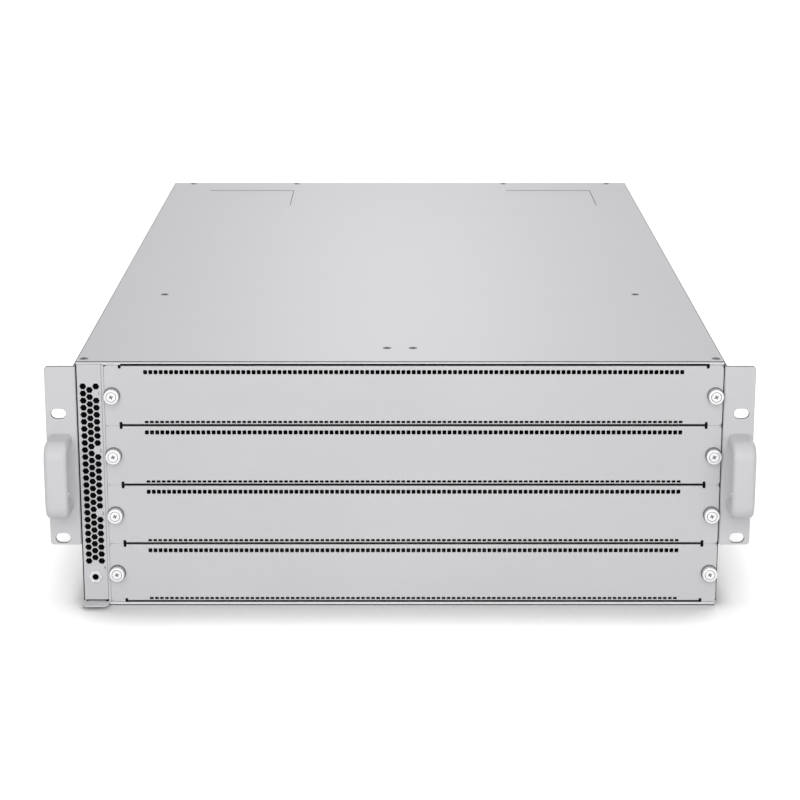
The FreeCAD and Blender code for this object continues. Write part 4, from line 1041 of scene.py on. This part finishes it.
def management():
    """The management module: three sockets with liners and contacts, a row of small lamps, handle and latch."""
    x = 2 * REAR_PITCH
    ports = [rounded(box_line(PORT_X + PORT_PITCH * k, PORT_RISE, 13.0, 11.0), 0.5, 2) for k in range(3)]
    openings = ports + [LATCH_RECESS]
    parts = module_box(openings, openings, x)
    parts.append((BRIGHT, bow_parts(x + 22.0)))
    outline = rounded(box_line(0, 0, 13.0, 11.0), 0.5, 2)
    liner = slab(outline, [rounded(box_line(0, -0.2, 11.6, 9.4), 0.6, 2)], 15.0, 0.2)
    end = slab(box_line(0, 0, 12.6, 10.6), (), 0.8, 0.1)
    for k in range(3):
        a = x + PORT_X + PORT_PITCH * k
        parts.append((BLACK, to_back(liner, a, BACK - 0.1, BAY_Z + PORT_RISE)))
        parts.append((BLACK, to_back(end, a, BACK - 14.6, BAY_Z + PORT_RISE)))
        for s in range(8):
            wire = slab(box_line(-3.57 + 1.02 * s, 0, 0.5, 0.5), (), 9.0, 0.1)
            parts.append((GOLD, to_back(wire, a, BACK - 4.0, BAY_Z + 11.2)))
    light = lathe([(0.7, -0.4), (1.0, 0.0), (0.9, 0.4), (0.1, 0.6)], 16)
    for k in range(5):
        parts.append((LENS, on_back(light, x - 34.0 + 5.0 * k, BACK, BAY_Z - 8.0)))
    piece("management_look", "management", parts, ["management_module"])
    piece("management_latch_look", "management_catch", latch_parts(x), ["management_latch"])


def label():
    """Pull-out tongue, with cut and softened corners on its lip."""
    line = [(-6.8, -10.0), (6.8, -10.0), (9.0, -7.0), (9.0, -0.3), (6.2, -0.3), (6.2, 76.0)]
    outline = line + [(-6.2, 76.0), (-6.2, -0.3), (-9.0, -0.3), (-9.0, -7.0)]
    radii = [1.5, 1.5, 1.2, 0.4, 0, 0.8, 0.8, 0, 0.4, 1.2]
    leaf = slab(rounded(outline, radii, 4), (), 1.0, 0.2)
    piece("label_look", "label_card", [(TAB, to_top(leaf, VENT_X, FRONT, 3.1))], ["label_tab"])


panels()
column()
slot_numbers()
jack()
ears()
cover()
tray()
rear_wall()
for number in range(1, 4):
    fan_parts(number)
supplies()
management()
label()
paint(BODY, "left_card_guides")
paint(ZINC, "front_frame", "right_card_guides", "bay_dividers")
paint(BLACK, "backplane_connectors", "label_holder")
paint(BOARD, "backplane")


# Stage, light and camera

FLOOR_HALF = 9          # metres
FLOOR_TONE = 0.75
FLOOR_GLOW = 0.75       # light that the floor adds where nothing stands near
LEAN = 0.71             # of the broad shade, to the back and up
WORLD_LIGHT = 0.38
CAMERA_PLACE = (0.0, -1.8685, 0.553)
CAMERA_PITCH = 15.03    # degrees below level
CAMERA_LENS = 103.39    # millimetres, as the sensor's width
SENSOR = 36.0


def combined(nodes, link, operation, first, second):
    """Joins two values by a Math node."""
    join = nodes.new("ShaderNodeMath")
    join.operation = operation
    link(first, join.inputs[0])
    link(second, join.inputs[1])
    return join.outputs["Value"]


def background_rays(nodes, link):
    """1 for the rays that show the background: straight to the camera, or by way of metal or glass."""
    path = nodes.new("ShaderNodeLightPath")
    total = path.outputs["Is Camera Ray"]
    for other in ("Is Glossy Ray", "Is Transmission Ray"):
        total = combined(nodes, link, "MAXIMUM", total, path.outputs[other])
    return total


def openness(nodes, link, distance, low, high, most=1.0, normal=None):
    """Rises from 0 to most as less of what lies within the distance covers the floor."""
    near = nodes.new("ShaderNodeAmbientOcclusion")
    near.samples = 8
    near.inputs["Distance"].default_value = distance
    if normal is not None:
        link(normal, near.inputs["Normal"])
    lift = nodes.new("ShaderNodeMapRange")
    lift.inputs["From Min"].default_value = low
    lift.inputs["From Max"].default_value = high
    lift.inputs["To Max"].default_value = most
    link(near.outputs["AO"], lift.inputs["Value"])
    return lift.outputs["Result"]


def stage_floor():
    """Pale floor, white further off, which darkens where the object stands close over it.

    The broad shade leans back, so it is deepest in front of the object, as under a light from above and behind.
    A narrow one follows every edge that touches the floor.
    """
    half = FLOOR_HALF
    mesh = bpy.data.meshes.new("floor")
    mesh.from_pydata([(-half, -half, 0), (half, -half, 0), (half, half, 0), (-half, half, 0)], [], [(0, 1, 2, 3)])
    floor = bpy.data.objects.new("floor", mesh)
    bpy.context.scene.collection.objects.link(floor)
    m = bpy.data.materials.new("floor_paint")
    m.use_nodes = True
    nodes = m.node_tree.nodes
    link = m.node_tree.links.new
    nodes.clear()
    matt = nodes.new("ShaderNodeBsdfDiffuse")
    matt.inputs["Color"].default_value = (FLOOR_TONE, FLOOR_TONE, FLOOR_TONE, 1)
    lean = nodes.new("ShaderNodeCombineXYZ")
    lean.inputs["Y"].default_value = LEAN
    lean.inputs["Z"].default_value = LEAN
    broad = openness(nodes, link, 0.062, 0.4, 1.0, FLOOR_GLOW, lean.outputs["Vector"])
    narrow = openness(nodes, link, 0.014, 0.5, 0.95)
    shade = combined(nodes, link, "MULTIPLY", broad, narrow)
    glow = nodes.new("ShaderNodeEmission")
    link(combined(nodes, link, "MULTIPLY", background_rays(nodes, link), shade), glow.inputs["Strength"])
    both = nodes.new("ShaderNodeAddShader")
    link(matt.outputs["BSDF"], both.inputs[0])
    link(glow.outputs["Emission"], both.inputs[1])
    link(both.outputs["Shader"], nodes.new("ShaderNodeOutputMaterial").inputs["Surface"])
    mesh.materials.append(m)


def world():
    """White where it is seen, dimmer as a light."""
    w = bpy.data.worlds.new("studio")
    bpy.context.scene.world = w
    w.use_nodes = True
    nodes = w.node_tree.nodes
    link = w.node_tree.links.new
    shade = nodes["Background"]
    level = nodes.new("ShaderNodeMapRange")
    level.inputs["To Min"].default_value = WORLD_LIGHT
    level.inputs["To Max"].default_value = 1.0
    link(background_rays(nodes, link), level.inputs["Value"])
    link(level.outputs["Result"], shade.inputs["Strength"])
    shade.inputs["Color"].default_value = (1, 1, 1, 1)


def lamp(name, place, aim, width, height, power):
    """A rectangular lamp; sizes and places in metres, power in watts."""
    data = bpy.data.lights.new(name, "AREA")
    data.shape = "RECTANGLE"
    data.size = width
    data.size_y = height
    data.energy = power
    thing = bpy.data.objects.new(name, data)
    thing.location = place
    thing.rotation_euler = (Vector(aim) - Vector(place)).to_track_quat("-Z", "Y").to_euler()
    thing.visible_camera = False
    bpy.context.scene.collection.objects.link(thing)


def camera():
    """The photograph's view."""
    data = bpy.data.cameras.new("camera")
    data.lens = CAMERA_LENS
    data.sensor_width = SENSOR
    thing = bpy.data.objects.new("camera", data)
    thing.location = CAMERA_PLACE
    thing.rotation_euler = (math.radians(90 - CAMERA_PITCH), 0.0, 0.0)
    bpy.context.scene.collection.objects.link(thing)
    bpy.context.scene.camera = thing


stage_floor()
world()
lamp("key", (-0.4, -2.6, 1.6), (0, -0.3, 0.1), 2.6, 2.0, 24)
lamp("front", (0.3, -3.0, 0.9), (0, -0.3, 0.1), 4.0, 2.4, 37)
lamp("back", (0.4, 2.8, 1.0), (0, 0.3, 0.1), 2.6, 2.0, 15)
lamp("top", (0.0, 0.55, 2.6), (0, 0, 0.17), 0.5, 0.5, 3)
lamp("middle", (0.0, 0.0, 0.385), (0, 0, 0.17), 0.2, 1.1, 0.48)
camera()
bpy.context.scene.view_settings.view_transform = "Standard"
